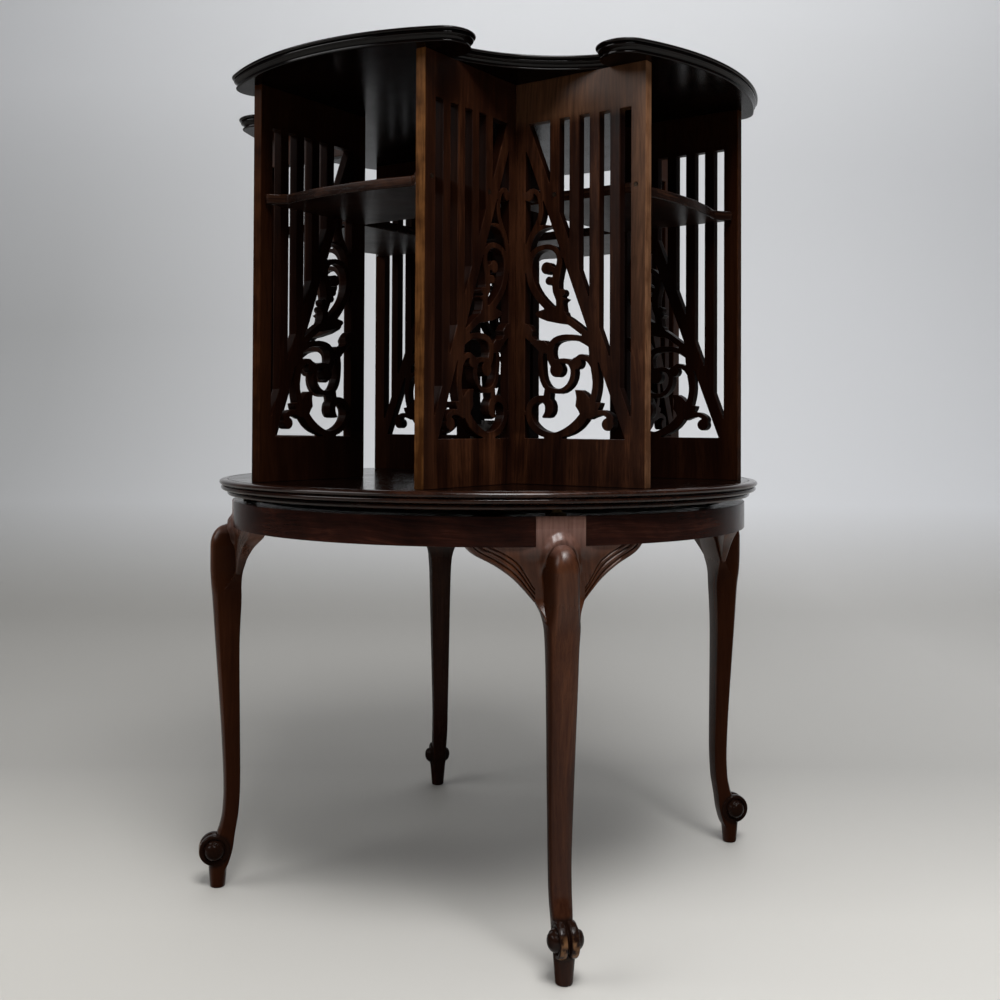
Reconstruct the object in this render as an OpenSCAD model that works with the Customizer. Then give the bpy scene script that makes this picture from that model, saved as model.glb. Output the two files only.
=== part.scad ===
// Revolving bookcase on a cabriole-leg stand.
// Four open book bays face outwards in a cross. Fretwork panels wall the bays, one serpentine shelf
// splits each of them, and the case turns on a spindle and four rollers set in the stand.
// Millimetres, +Z up, origin on the floor under the spindle. The bays face -Y, +X, +Y and -X.

/* [Case] */
// Diameter of the turning base disc over its nose
disc_d = 560; // [540:1:640]
// Thickness of the base disc
disc_t = 16; // [14:0.5:24]
// Radius of the round nose on the disc's edge
disc_nose_r = 5; // [3:0.25:6]
// Depth of the step between the disc's nose and its lower moulding
disc_step = 5.3; // [3:0.1:8]
// Radius of the disc's lower moulding
disc_ovolo_r = 3.2; // [1.5:0.1:5]
// Clear width of a book bay between its panels
bay_w = 188; // [170:1:200]
// Distance from the axis to the outer ends of the panels
bay_reach = 242.5; // [235:0.5:262]
// Height of the fretwork panels
panel_h = 378; // [340:1:420]
// Thickness of the fretwork panels
panel_t = 10; // [9:0.5:12]

/* [Fretwork] */
// Width of the stile at the inner corner
stile_in = 10.5; // [9:0.5:13]
// Width of the stile at the outer end
stile_out = 15.2; // [12:0.2:18]
// Height of the bottom rail
rail_low = 43; // [36:1:52]
// Height of the top rail
rail_top = 39; // [32:1:48]
// Width of an upright slat
slat_w = 10.2; // [9:0.2:13]
// Width of the slot between two slats
slot_w = 11.2; // [8:0.2:12]
// Slats between the diagonal bar and the top rail
slat_n = 4; // [3:1:4]
// Width of the diagonal bar, square across it
diagonal_w = 11.7; // [9:0.1:14]
// Radius that the fret saw leaves in inner corners
saw_r = 0.6; // [0.4:0.1:1]
// Distance from the inner stile to the bar's upper edge, at the top rail
diagonal_top_in = 3.5; // [2:0.5:6]
// Height of the bar's upper edge above the bottom rail, at the outer stile
diagonal_foot_up = 17.7; // [12:0.5:24]

/* [Shelves] */
// Height of the shelf tops above the base disc
shelf_up = 274; // [240:1:290]
// Thickness of the shelves
shelf_t = 9.5; // [8:0.5:12]
// Distance of the shelf's front corners behind the panel ends
shelf_set_back = 5.5; // [3:0.5:10]
// Depth of the hollow beside each front corner
shelf_hollow = 11.5; // [6:0.5:16]
// Width of the hollow's sweep from the corner
shelf_sweep = 19; // [14:0.5:26]
// Swell of the bowed middle of the front edge
shelf_bow = 8; // [4:0.5:12]
// Distance of the inner edge past the corners of the open middle
shelf_inner_gap = 2; // [1:0.5:6]
// Shank diameter of the shelf nails
nail_d = 2; // [1.6:0.1:2.6]
// Head diameter of the shelf nails
nail_head_d = 4; // [3:0.1:5]
// Thickness of a nail head
nail_head_t = 1; // [0.6:0.1:1.4]
// Length of a nail
nail_l = 18; // [14:1:18]

/* [Top board] */
// Diameter of the top over its widest bead
top_d = 560; // [550:1:620]
// Thickness of the top
top_t = 13; // [11:0.5:16]
// Radius of the round ends of the four lobes
lobe_r = 27; // [24:1:30]
// Angle from a corner line to the centre of a lobe's round end
lobe_angle = 18.6; // [17.5:0.1:19.5]
// Radius of the hollow between two lobes
notch_r = 150; // [130:5:180]
// Distance from the axis to the bottom of the hollow
notch_in = 202; // [196:0.5:208]
// Depth of the cove under the top's beads
cove_in = 6; // [4:0.2:8]
// Height of the small bead at the lower edge
low_bead_h = 1.6; // [1.2:0.1:2.4]
// Set-back of the small bead from the widest bead
low_bead_in = 4.6; // [3.5:0.1:6]
// Height of the middle bead
mid_bead_h = 3; // [2:0.1:3.6]
// Set-back of the middle bead from the widest bead
mid_bead_in = 2; // [1:0.1:3]
// Height of the widest bead
wide_bead_h = 3.2; // [2:0.1:3.6]
// Height of the eased upper edge
ease_h = 0.8; // [0.4:0.1:1.2]

/* [Stand] */
// Height of the apron's top above the floor
stand_h = 387.5; // [360:0.5:430]
// Height of the apron
apron_h = 26; // [25.5:0.5:34]
// Outer diameter of the apron
apron_d = 534; // [524:1:540]
// Thickness of the apron from front to back
apron_t = 22; // [18:0.5:26]
// Turn of the legs from the corner lines of the case
leg_turn = 3.8; // [0:0.2:12]
// Width of the leg blocks that part the apron
block_w = 44; // [40:1:50]
// Depth of the leg blocks from front to back
block_depth = 35; // [33:0.5:40]

/* [Legs] */
// How far the knee stands out past the apron
knee_out = 21; // [16:0.5:26]
// Depth of the knee from front to back
knee_depth = 34; // [31:0.5:38]
// Distance of the knee below the apron's top
knee_drop = 66; // [60:0.5:74]
// Height of the middle of the shin
shin_up = 240; // [215:1:255]
// How far the shin stands out past the apron
shin_out = 15.4; // [13:0.2:18]
// Depth of the shin from front to back
shin_depth = 23.6; // [21:0.2:27]
// Width of the shin
shin_w = 23.5; // [21:0.5:27]
// Height of the ankle
ankle_up = 104; // [94:1:114]
// How far the ankle stands out past the apron
ankle_out = 6.8; // [5:0.2:9]
// Depth of the ankle from front to back
ankle_depth = 16.6; // [15:0.2:19]
// Width of the ankle
ankle_w = 19.4; // [17:0.2:22]
// Height of the centre of the scroll foot
scroll_up = 37.5; // [35:0.5:41]
// How far the scroll's centre stands out past the apron
scroll_out = 15; // [13:0.5:17]
// Radius of the scroll
scroll_r = 15.2; // [13:0.2:16]
// Width of the scroll
scroll_w = 17.5; // [16:0.5:20]
// Radius of the scroll's eyes
eye_r = 9.6; // [7:0.2:11]
// How far each eye stands out at the side
eye_out = 7; // [5:0.2:8]
// Depth of the groove round the scroll
scroll_groove = 1.3; // [0.6:0.1:2]
// Height of the peg under the scroll
peg_h = 26; // [24:0.5:28]
// Diameter of the peg at the top
peg_top_d = 19; // [17:0.5:21]
// Diameter of the peg at the floor
peg_foot_d = 15; // [12:0.5:17]
// How far the peg's centre stands out past the apron
peg_out = 11.5; // [10:0.5:13]
// Reach of an ear beside the knee
ear_reach = 57; // [45:1:65]
// Drop of an ear below the apron
ear_drop = 47; // [38:1:52]
// Set-back of the ears behind the apron's face
ear_set_back = 2.5; // [1:0.25:5]
// Thickness of the ears from front to back
ear_t = 16; // [13:0.5:18]
// Thickness of the ears at their lower end
ear_foot_t = 5; // [3:0.5:8]

/* [Pivot] */
// Gap between the apron and the turning disc
turn_gap = 5.5; // [5:0.25:9]
// Width of the two cross rails
rail_w = 40; // [36:1:48]
// Thickness of the cross rails
rail_t = 20; // [18:0.5:22]
// Distance of the rails' tops below the apron's top
rail_drop = 5.5; // [5:0.25:7]
// Length of the tenons on the cross rails
tenon_l = 12; // [8:0.5:16]
// Width of the tenons
tenon_w = 26; // [20:1:30]
// Height of the tenons
tenon_h = 10; // [8:0.5:11]
// Thickness of the board that closes the top of the stand
board_t = 5; // [3:0.25:5]
// Gap between that board and the apron
board_gap = 3; // [2:0.25:4]
// Diameter of the spindle
spindle_d = 16; // [12:0.5:20]
// Running clearance of the bushes, on the radius
bush_clear = 0.05; // [0.02:0.01:0.1]
// Wall of the bushes
bush_wall = 4; // [3:0.25:5]
// Flange diameter of the bushes
bush_flange_d = 40; // [34:1:44]
// Flange thickness of the bushes
bush_flange_t = 3; // [2:0.25:4]
// Length of the upper bush in the hub
bush_l = 18; // [12:1:26]
// Diameter of the hub block
hub_d = 74; // [66:1:90]
// Height of the hub block
hub_h = 40; // [34:1:48]
// Diameter of the pivot plate
plate_d = 96; // [86:1:110]
// Thickness of the pivot plate
plate_t = 4; // [3:0.25:5]
// Diameter of the thrust ring
thrust_d = 36; // [30:1:40]
// Clearance between faces that turn on each other
run_clear = 0.1; // [0.05:0.05:0.3]
// Thickness of the washers at the ends of the spindle
washer_t = 3; // [2:0.25:4]
// Diameter of those washers
washer_d = 34; // [30:1:38]
// Width across the flats of the nuts
nut_w = 24; // [20:1:28]
// Height of the nuts
nut_h = 10; // [8:0.5:13]
// Spindle end standing past each nut
spindle_end = 4; // [2:0.5:6]

/* [Rollers] */
// Diameter of the rollers
roller_d = 12; // [11:0.25:13]
// Width of the rollers
roller_w = 10.4; // [9:0.2:11]
// Clearance of a roller under the disc and beside its housing
roller_clear = 0.3; // [0.2:0.05:0.5]
// Distance from the apron's face to the rollers' centres
roller_in = 19; // [17:0.5:20]
// Diameter of the roller pins
pin_d = 3; // [2.5:0.1:3.4]
// Running clearance of the rollers on their pins, on the radius
pin_clear = 0.05; // [0.02:0.01:0.1]
// Wall of the roller housings
housing_wall = 2.4; // [2:0.1:3]
// Side room beside a roller in its pocket
pocket_room = 1; // [0.6:0.1:1.6]
// Metal above the pin in a housing's ears
ear_over_pin = 1.2; // [0.8:0.1:1.6]

/* [Fixings] */
// Diameter of the dowels in the panel ends
dowel_d = 6; // [5:0.25:6.5]
// Depth of the dowels in a panel
dowel_in_panel = 20; // [14:1:26]
// Depth of the dowels in the top and in the disc
dowel_in_board = 8; // [6:0.5:9]
// Clearance round dowels, nails and screws, on the radius
fix_clear = 0.1; // [0.05:0.05:0.2]
// Shank diameter of the screws
screw_d = 5; // [4:0.25:6]
// Head diameter of the screws
screw_head_d = 9; // [8:0.25:11]
// Height of a countersunk screw head
screw_head_h = 2.6; // [2:0.1:3]
// Length of the screws in the wood
screw_l = 24; // [18:1:28]

/* [Hidden] */
$fn = 64;
overlap = 1;
curve_steps = 3;
stroke_steps = 2;
fine_steps = 4;

// Levels above the floor
z_apron = stand_h - apron_h;
z_disc = stand_h + turn_gap;
z_case = z_disc + disc_t;
z_top = z_case + panel_h;
z_shelf = z_case + shelf_up - shelf_t;
z_rail = stand_h - rail_drop - rail_t;
z_plate = z_rail + rail_t;
z_thrust = z_plate + plate_t;
z_hub_top = z_case + hub_h;

// Radii and half widths
apron_r = apron_d / 2;
block_in = apron_r - block_depth;
half_bay = bay_w / 2;
wall_out = half_bay + panel_t;
panel_l = bay_reach - wall_out;
spindle_r = spindle_d / 2;
bush_r = spindle_r + bush_clear + bush_wall;
hub_bore_r = spindle_r + 1;
roller_r = roller_d / 2;
roller_track = apron_r - roller_in;
z_roller = z_disc - roller_clear - roller_r;
housing_l = roller_w + 2 * (roller_clear + housing_wall);
housing_w = roller_d + 2 * pocket_room;
z_pocket = z_roller - roller_r - roller_clear - housing_wall;
screw_ring = hub_d / 2 - screw_head_d / 2 - 4;
plate_screw_ring = plate_d / 2 - screw_head_d / 2 - 6;
dowel_places = [stile_in + 14, panel_l - stile_out - 8];
nail_slat = panel_l - stile_out - 4 * (slot_w + slat_w) + slat_w / 2;
nail_places = [nail_slat, panel_l - stile_out + 1.2 * nail_head_d];

// Turns of the bays, named by where they face, and of the legs between them
FRONT = -90;
RIGHT = 0;
BACK = 90;
LEFT = 180;
LEG_TURNS = [for (turn = [FRONT, RIGHT, BACK, LEFT]) turn + 45 + leg_turn];

// Finishes
DARK_WOOD = "#3b1d14";
RED_WOOD = "#4a2418";
INNER_WOOD = "#5a3a26";
IRON = "#3a3a3c";
BRASS = "#a8843f";
PALE_WOOD = "#b08a5a";

// Smooth curve through points of any size, a few steps from each point to the next
function knot(p, i) = p[max(0, min(len(p) - 1, i))];
function between(a, b, c, d, t) =
    0.5 * (2 * b + (c - a) * t + (2 * a - 5 * b + 4 * c - d) * t * t + (3 * b - a - 3 * c + d) * t * t * t);
function curve(p, steps) = [
    for (i = [0 : len(p) - 2]) for (k = [0 : steps - 1])
        between(knot(p, i - 1), p[i], p[i + 1], knot(p, i + 2), k / steps),
    p[len(p) - 1]
];

// Points of an arc, both ends included
function arc(centre, r, from, to, steps) = [
    for (k = [0 : steps]) let (a = from + (to - from) * k / steps) centre + r * [cos(a), sin(a)]
];
function turned(p, a) = [for (q = p) [q.x * cos(a) - q.y * sin(a), q.x * sin(a) + q.y * cos(a)]];
function backwards(p) = [for (i = [len(p) - 1 : -1 : 0]) p[i]];

// Flat scroll stroke along [x, y, width] points
module stroke(points) {
    line = curve(points, stroke_steps);
    last = len(line) - 1;
    sides = [
        for (i = [0 : last])
            let (
                run = knot(line, i + 1) - knot(line, i - 1),
                side = [-run.y, run.x] / norm([run.x, run.y])
            ) [side, line[i].z / 2]
    ];
    left = [for (i = [0 : last]) [line[i].x, line[i].y] + sides[i][0] * sides[i][1]];
    right = [for (i = [0 : last]) [line[i].x, line[i].y] - sides[i][0] * sides[i][1]];
    polygon(concat(left, backwards(right)));
}

// Stand

module at_legs() {
    for (turn = LEG_TURNS) rotate(turn) children();
}

// Stations of the leg from block to peg: height, front, back, half width, squareness of the front
function leg_stations() =
    let (
        half_block = block_w / 2,
        z_knee = stand_h - knee_drop,
        z_ear_foot = z_apron - ear_drop,
        knee_back = apron_r + knee_out - knee_depth,
        shin_back = apron_r + shin_out - shin_depth,
        ankle_back = apron_r + ankle_out - ankle_depth,
        scroll_front = apron_r + scroll_out,
        peg_mid = apron_r + peg_out,
        half_peg = peg_top_d / 2
    ) [
        [z_apron + apron_h / 2, apron_r - 1, block_in + 3, half_block, 0.3],
        [z_apron + 4, apron_r + 1.5, block_in + 6, half_block, 0.35],
        [z_apron - 7.5, apron_r + 0.62 * knee_out, block_in + 10, half_block, 0.5],
        [z_knee + 16, apron_r + 0.96 * knee_out, knee_back - 3.5, half_block, 0.65],
        [max(z_knee, z_ear_foot + 5), apron_r + knee_out, knee_back, half_block, 0.7],
        [z_ear_foot, apron_r + 0.985 * knee_out, knee_back + 2.5, half_block - 0.2, 0.75],
        [z_ear_foot - 12, apron_r + 0.96 * knee_out, knee_back + 3.5, 0.4 * half_block + 0.3 * shin_w, 0.8],
        [z_ear_foot - 30, apron_r + 0.91 * knee_out, 0.3 * knee_back + 0.7 * shin_back, 0.54 * shin_w, 0.8],
        [shin_up, apron_r + shin_out, shin_back, shin_w / 2, 0.8],
        [0.4 * shin_up + 0.6 * ankle_up, apron_r + 0.3 * shin_out + 0.7 * ankle_out,
            0.35 * shin_back + 0.65 * ankle_back, 0.2 * shin_w + 0.3 * ankle_w, 0.8],
        [ankle_up, apron_r + ankle_out, ankle_back, ankle_w / 2, 0.8],
        [scroll_up + 2.6 * scroll_r, apron_r + ankle_out + 0.8, ankle_back + 1.4, ankle_w / 2, 0.8],
        [scroll_up + 1.4 * scroll_r, scroll_front - 2.5, ankle_back + 4, 0.45 * ankle_w, 0.7],
        [scroll_up, scroll_front + 1.5, 0.5 * ankle_back + 0.5 * (peg_mid - half_peg) + 1, 0.41 * ankle_w, 0.6],
        [peg_h - 2, peg_mid + half_peg - 1, peg_mid - half_peg - 1, half_peg - 0.6, 0.7],
        [peg_h - 8, peg_mid + half_peg - 3, peg_mid - half_peg + 2, half_peg - 3, 0.9]
    ];

// Outline of the leg at one station: a rounded front, flat sides and an eased back
function leg_section(s) =
    let (
        front = s[1],
        back = s[2],
        half = min(s[3], block_w / 2),
        power = 1 - 0.65 * (1 - s[4]),
        swell = back + 0.42 * (front - back),
        ease = 0.12 * half
    ) concat(
        [[back, -half + ease], [back + ease, -half]],
        [for (a = [-90 : 15 : 90])
            [swell + (front - swell) * pow(cos(a), power), half * sign(a) * pow(abs(sin(a)), power)]],
        [[back + ease, half], [back, half - ease]]
    );

module leg_shaft() {
    stations = curve(leg_stations(), curve_steps);
    rings = [for (s = stations) leg_section(s)];
    n = len(rings[0]);
    last = len(rings) - 1;
    points = [for (i = [0 : last]) for (p = rings[i]) [p.x, p.y, stations[i][0]]];
    walls = [
        for (i = [0 : last - 1]) for (k = [0 : n - 1])
            let (a = i * n + k, b = i * n + (k + 1) % n)
                each [[a, b, b + n], [a, b + n, a + n]]
    ];
    caps = [
        [for (k = [n - 1 : -1 : 0]) k],
        [for (k = [0 : n - 1]) last * n + k]
    ];
    polyhedron(points, concat(walls, caps));
}

module leg_block() {
    difference() {
        intersection() {
            translate([0, 0, z_apron]) cylinder(r = apron_r, h = apron_h, $fn = 256);
            translate([block_in, -block_w / 2, z_apron]) cube([block_depth + overlap, block_w, apron_h]);
        }
        translate([roller_track - housing_l / 2, -housing_w / 2, z_pocket])
            cube([housing_l, housing_w, stand_h - z_pocket + overlap]);
    }
}

// Rail tenon at the +X end, drawn back into the rail by the given length
module tenon(back) {
    translate([block_in - back, -tenon_w / 2, z_rail + rail_t / 2 - tenon_h / 2 - 4])
        cube([tenon_l + back, tenon_w, tenon_h]);
}

module scroll_foot() {
    half = scroll_w / 2;
    dome = [for (a = [0 : 18 : 90]) [eye_r * sin(a), half + eye_out * cos(a)]];
    translate([apron_r + scroll_out, 0, scroll_up]) rotate([90, 0, 0])
        rotate_extrude() polygon(concat(
            [for (p = dome) [p.x, -p.y]],
            [[scroll_r - 1, -half], [scroll_r, -half + 1]],
            arc([scroll_r, 0], scroll_groove, -90, -270, 6),
            [[scroll_r, half - 1], [scroll_r - 1, half]],
            backwards(dome)
        ));
}

module leg(i) {
    color(RED_WOOD) rotate(LEG_TURNS[i]) difference() {
        union() {
            leg_block();
            leg_shaft();
            scroll_foot();
            translate([apron_r + peg_out, 0, 0]) cylinder(d1 = peg_foot_d, d2 = peg_top_d, h = peg_h);
        }
        tenon(overlap);
    }
}

// Lower edge of an ear, from its tip under the apron to the side of the knee
EAR_EDGE = [[1, 0], [0.845, 0.14], [0.538, 0.32], [0.29, 0.55], [0.12, 0.79], [0, 1]];

module ears(i) {
    ear_r = apron_r - ear_set_back;
    edge = [for (p = curve(EAR_EDGE, curve_steps)) [block_w / 2 + p.x * ear_reach, z_apron - p.y * ear_drop]];
    color(RED_WOOD) rotate(LEG_TURNS[i]) for (hand = [0, 1]) mirror([0, hand, 0])
        intersection() {
            rotate([90, 0, 90]) linear_extrude(apron_r) polygon(concat([[block_w / 2, z_apron]], edge));
            translate([0, 0, z_apron - ear_drop]) difference() {
                cylinder(r = ear_r, h = ear_drop, $fn = 256);
                cylinder(r1 = ear_r - ear_foot_t, r2 = ear_r - ear_t, h = ear_drop, $fn = 256);
            }
        }
}

// Apron piece between leg i and the next one
module apron(i) {
    reach = 2 * apron_r;
    color(DARK_WOOD) rotate(LEG_TURNS[i]) intersection() {
        translate([0, 0, z_apron]) difference() {
            cylinder(r = apron_r, h = apron_h, $fn = 256);
            translate([0, 0, -overlap]) cylinder(r = apron_r - apron_t, h = apron_h + 2 * overlap, $fn = 256);
        }
        translate([block_w / 2, block_w / 2, z_apron - overlap]) cube([reach, reach, apron_h + 2 * overlap]);
    }
}

module cross_rail(halving) {
    difference() {
        union() {
            translate([-block_in, -rail_w / 2, z_rail]) cube([2 * block_in, rail_w, rail_t]);
            for (end = [0, 180]) rotate(end) tenon(overlap);
        }
        translate([-rail_w / 2, -rail_w / 2 - overlap, halving])
            cube([rail_w, rail_w + 2 * overlap, rail_t / 2 + overlap]);
        translate([0, 0, z_rail - overlap]) cylinder(r = spindle_r + fix_clear, h = rail_t + 2 * overlap);
        for (end = [-1, 1]) translate([end * plate_screw_ring, 0, z_plate + screw_head_h - screw_l])
            cylinder(r = screw_d / 2 + fix_clear, h = screw_l);
    }
}

module cross_rail_lower() {
    color(INNER_WOOD) rotate(LEG_TURNS[0]) cross_rail(z_rail + rail_t / 2);
}

module cross_rail_upper() {
    color(INNER_WOOD) rotate(LEG_TURNS[1]) cross_rail(z_rail - overlap);
}

// Board on the cross rails, cut out round the leg blocks and the pivot plate
module stand_board() {
    side = block_w + 2 * board_gap;
    color(INNER_WOOD) difference() {
        translate([0, 0, z_plate]) cylinder(r = apron_r - apron_t - board_gap, h = board_t, $fn = 256);
        translate([0, 0, z_plate - overlap]) cylinder(d = plate_d + 2 * fix_clear, h = board_t + 2 * overlap);
        at_legs() translate([block_in - board_gap, -side / 2, z_plate - overlap])
            cube([block_depth, side, board_t + 2 * overlap]);
    }
}

// Countersunk wood screw with its head's top at the origin, pointing down
module screw(clear) {
    r = screw_d / 2 + clear;
    head_r = screw_head_d / 2 + clear;
    translate([0, 0, -screw_head_h]) cylinder(r1 = r, r2 = head_r, h = screw_head_h);
    translate([0, 0, -screw_l]) cylinder(r = r, h = screw_l - screw_head_h + overlap / 2);
}

module at_plate_screws() {
    at_legs() translate([plate_screw_ring, 0, z_thrust]) children();
}

module pivot_plate() {
    color(IRON) difference() {
        translate([0, 0, z_plate]) cylinder(d = plate_d, h = plate_t);
        translate([0, 0, z_plate - overlap]) cylinder(r = spindle_r + fix_clear, h = plate_t + 2 * overlap);
        at_plate_screws() screw(fix_clear);
    }
}

module pivot_plate_screws() {
    color(IRON) at_plate_screws() screw(0);
}

module thrust_ring() {
    color(BRASS) translate([0, 0, z_thrust]) difference() {
        cylinder(d = thrust_d, h = z_disc - run_clear - z_thrust);
        translate([0, 0, -overlap]) cylinder(r = spindle_r + fix_clear, h = turn_gap + rail_drop);
    }
}

z_upper_washer = z_hub_top + bush_flange_t + run_clear;
z_upper_nut = z_upper_washer + washer_t;
z_lower_nut = z_rail - washer_t - nut_h;

module spindle() {
    color(IRON) translate([0, 0, z_lower_nut - spindle_end])
        cylinder(r = spindle_r, h = z_upper_nut + nut_h + 2 * spindle_end - z_lower_nut);
}

module washer(z) {
    color(IRON) translate([0, 0, z]) difference() {
        cylinder(d = washer_d, h = washer_t);
        translate([0, 0, -overlap]) cylinder(r = spindle_r + fix_clear, h = washer_t + 2 * overlap);
    }
}

module nut(z) {
    color(IRON) translate([0, 0, z]) difference() {
        cylinder(d = nut_w / cos(30), h = nut_h, $fn = 6);
        translate([0, 0, -overlap]) cylinder(r = spindle_r + fix_clear, h = nut_h + 2 * overlap);
    }
}

// Rollers

module at_roller_axis(turn) {
    rotate(turn) translate([roller_track, 0, z_roller]) rotate([0, 90, 0]) children();
}

module roller_housings() {
    top = z_roller + pin_d / 2 + ear_over_pin;
    gap = roller_w + 2 * roller_clear;
    color(BRASS) for (turn = LEG_TURNS) difference() {
        rotate(turn) translate([roller_track - housing_l / 2, -housing_w / 2, z_pocket]) difference() {
            cube([housing_l, housing_w, top - z_pocket]);
            translate([housing_wall, -overlap, housing_wall])
                cube([gap, housing_w + 2 * overlap, top - z_pocket]);
        }
        at_roller_axis(turn) cylinder(r = pin_d / 2 + fix_clear / 2, h = housing_l + 2 * overlap, center = true, $fn = 32);
    }
}

module roller_pins() {
    color(IRON) for (turn = LEG_TURNS) at_roller_axis(turn)
        cylinder(d = pin_d, h = housing_l, center = true, $fn = 32);
}

module roller(i) {
    color(BRASS) at_roller_axis(LEG_TURNS[i]) difference() {
        cylinder(r = roller_r, h = roller_w, center = true);
        cylinder(r = pin_d / 2 + pin_clear, h = roller_w + 2 * overlap, center = true, $fn = 32);
    }
}

// Case

module at_bays() {
    for (turn = [FRONT, RIGHT, BACK, LEFT]) rotate(turn) children();
}

// Where the dowels of all panels stand, on the floor plan
module at_dowels() {
    at_bays() for (hand = [-1, 1]) for (place = dowel_places)
        translate([wall_out + place, hand * (half_bay + panel_t / 2), 0]) children();
}

module at_hub_screws() {
    for (turn = [FRONT, RIGHT, BACK, LEFT]) rotate(turn) translate([screw_ring, 0, z_disc]) mirror([0, 0, 1]) children();
}

module base_disc() {
    r = disc_d / 2;
    nose = r - disc_nose_r;
    step_r = r - disc_step;
    ovolo_mid = step_r - disc_ovolo_r;
    color(DARK_WOOD) difference() {
        translate([0, 0, z_disc]) rotate_extrude($fn = 256) {
            difference() {
                square([nose, disc_t]);
                translate([ovolo_mid, -overlap]) square([r, overlap + disc_ovolo_r]);
            }
            translate([0, disc_ovolo_r]) square([step_r, disc_t - disc_ovolo_r - disc_nose_r]);
            translate([nose, disc_t - disc_nose_r]) circle(disc_nose_r);
            intersection() {
                translate([ovolo_mid, disc_ovolo_r]) circle(disc_ovolo_r);
                translate([ovolo_mid - overlap, 0]) square([r, disc_ovolo_r + overlap / 2]);
            }
        }
        translate([0, 0, z_disc - overlap]) cylinder(r = bush_r, h = disc_t + 2 * overlap);
        translate([0, 0, z_disc - overlap]) cylinder(d = bush_flange_d, h = bush_flange_t + overlap);
        at_hub_screws() screw(fix_clear);
        at_dowels() translate([0, 0, z_case - dowel_in_board])
            cylinder(r = dowel_d / 2 + fix_clear, h = dowel_in_board + overlap, $fn = 32);
    }
}

module bush(flange_at, sleeve_l) {
    difference() {
        union() {
            cylinder(r = bush_r, h = sleeve_l);
            translate([0, 0, flange_at]) cylinder(d = bush_flange_d, h = bush_flange_t);
        }
        translate([0, 0, -overlap]) cylinder(r = spindle_r + bush_clear, h = sleeve_l + bush_flange_t + 2 * overlap);
    }
}

module lower_bush() {
    color(BRASS) translate([0, 0, z_disc]) bush(0, disc_t);
}

module upper_bush() {
    color(BRASS) translate([0, 0, z_hub_top - bush_l]) bush(bush_l, bush_l + bush_flange_t);
}

module hub_block() {
    color(INNER_WOOD) difference() {
        translate([0, 0, z_case]) cylinder(d = hub_d, h = hub_h);
        translate([0, 0, z_case - overlap]) cylinder(r = hub_bore_r, h = hub_h + 2 * overlap);
        translate([0, 0, z_hub_top - bush_l]) cylinder(r = bush_r, h = bush_l + overlap);
        at_hub_screws() screw(fix_clear);
    }
}

module hub_screws() {
    color(IRON) at_hub_screws() screw(0);
}

// Fretwork. The scroll drawing was laid out on a panel opening of this size and corner.
DRAWN_CORNER = [10.5, 43];
DRAWN_OPENING = [113.5, 297];

// Each stroke is a list of [x, y, width] from the panel's inner lower corner
STROKES = [
    // great lower scroll, from the diagonal bar round to its hooked end
    [[84, 130, 8], [85, 120, 8], [86.6, 107, 7.6], [88, 95, 6.6], [86.6, 84, 6.6], [83, 75, 7.8], [77, 66, 9],
     [69.4, 57.2, 9.5], [60, 50.8, 8.6], [50, 47, 6.6], [42, 45.8, 5.5], [33, 47, 6], [25, 50.5, 6.5],
     [18.5, 56.5, 6.5], [15, 64, 6.5], [15.5, 71.5, 6.5], [20, 77.5, 6.5], [27, 80, 6.5], [33, 79, 7.5],
     [37, 75.5, 8.6], [37.8, 70, 8.8], [35.6, 65.4, 7.4], [30.5, 62.8, 1.2]],
    // ring inside it
    [[30, 127, 5], [28, 118, 5], [28.5, 106, 5], [30.5, 97, 5], [36, 89.5, 5], [44, 87, 4.6], [52, 87.5, 4.6],
     [59, 92, 4.8], [63, 99, 5], [63.5, 107, 5], [60, 113, 5], [54, 115, 4.6], [47, 114.5, 4.6], [42, 114, 4.6]],
    // arch over the ring, curling in to its ball
    [[82, 129, 5.5], [72, 134.5, 5.5], [62, 136.3, 5.5], [52, 136.3, 5.8], [44, 134, 6.2], [39.5, 129, 6.8],
     [38.5, 122, 7], [40, 116, 7.2], [44, 110, 7.5]],
    // stem of the ball beside the ring
    [[67, 115, 5], [71, 118, 5], [76, 117.5, 5], [81, 114.5, 5], [85, 109, 5]],
    // neck between the ring and the hook
    [[36.5, 90, 7], [35, 80, 7]],
    // curl at the foot of the diagonal bar
    [[80, 63, 5], [90, 66.5, 5], [97, 66.5, 5], [103, 63, 5], [103.5, 60.5, 5], [101.5, 57, 5]],
    // great upper scroll, from the diagonal bar round to its leafy inner end
    [[87, 131.5, 6], [79, 137.6, 6], [71, 143.2, 6.2], [61, 150.2, 6.5], [52.5, 155, 7], [44, 159.5, 7],
     [36, 165.5, 7], [28, 173, 7], [21.5, 181, 7], [17, 190, 7], [15, 199, 6.8], [15.5, 208, 6.5],
     [18.5, 215.5, 6], [24, 220, 5.5], [31, 221.7, 5], [38, 221.5, 5], [44, 218.5, 5], [48, 213, 5],
     [48.5, 205, 6], [45.5, 196, 8], [44.5, 188, 7], [45, 180, 7], [48.5, 172, 7], [49, 165, 8], [50, 156, 9]],
    // stem of the berry beside the leafy end
    [[35, 202, 5], [40, 201, 5], [46, 198, 5]],
    // upper curl beside the stile
    [[9, 270, 4], [14.5, 275, 4], [18.5, 276, 4.2], [23, 274, 4.4], [26.5, 268, 4.6], [28, 260, 4.8],
     [27.5, 252, 5], [24.5, 244, 5.4], [19.5, 236, 6], [15.5, 228, 6], [13, 219, 6], [12.5, 205, 6]],
    // pointed leaf under the upper curl
    [[40.5, 240.6, 1.2], [33, 241, 3.6], [26, 239.5, 5], [20, 235, 5], [16, 228, 5]]
];

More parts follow.
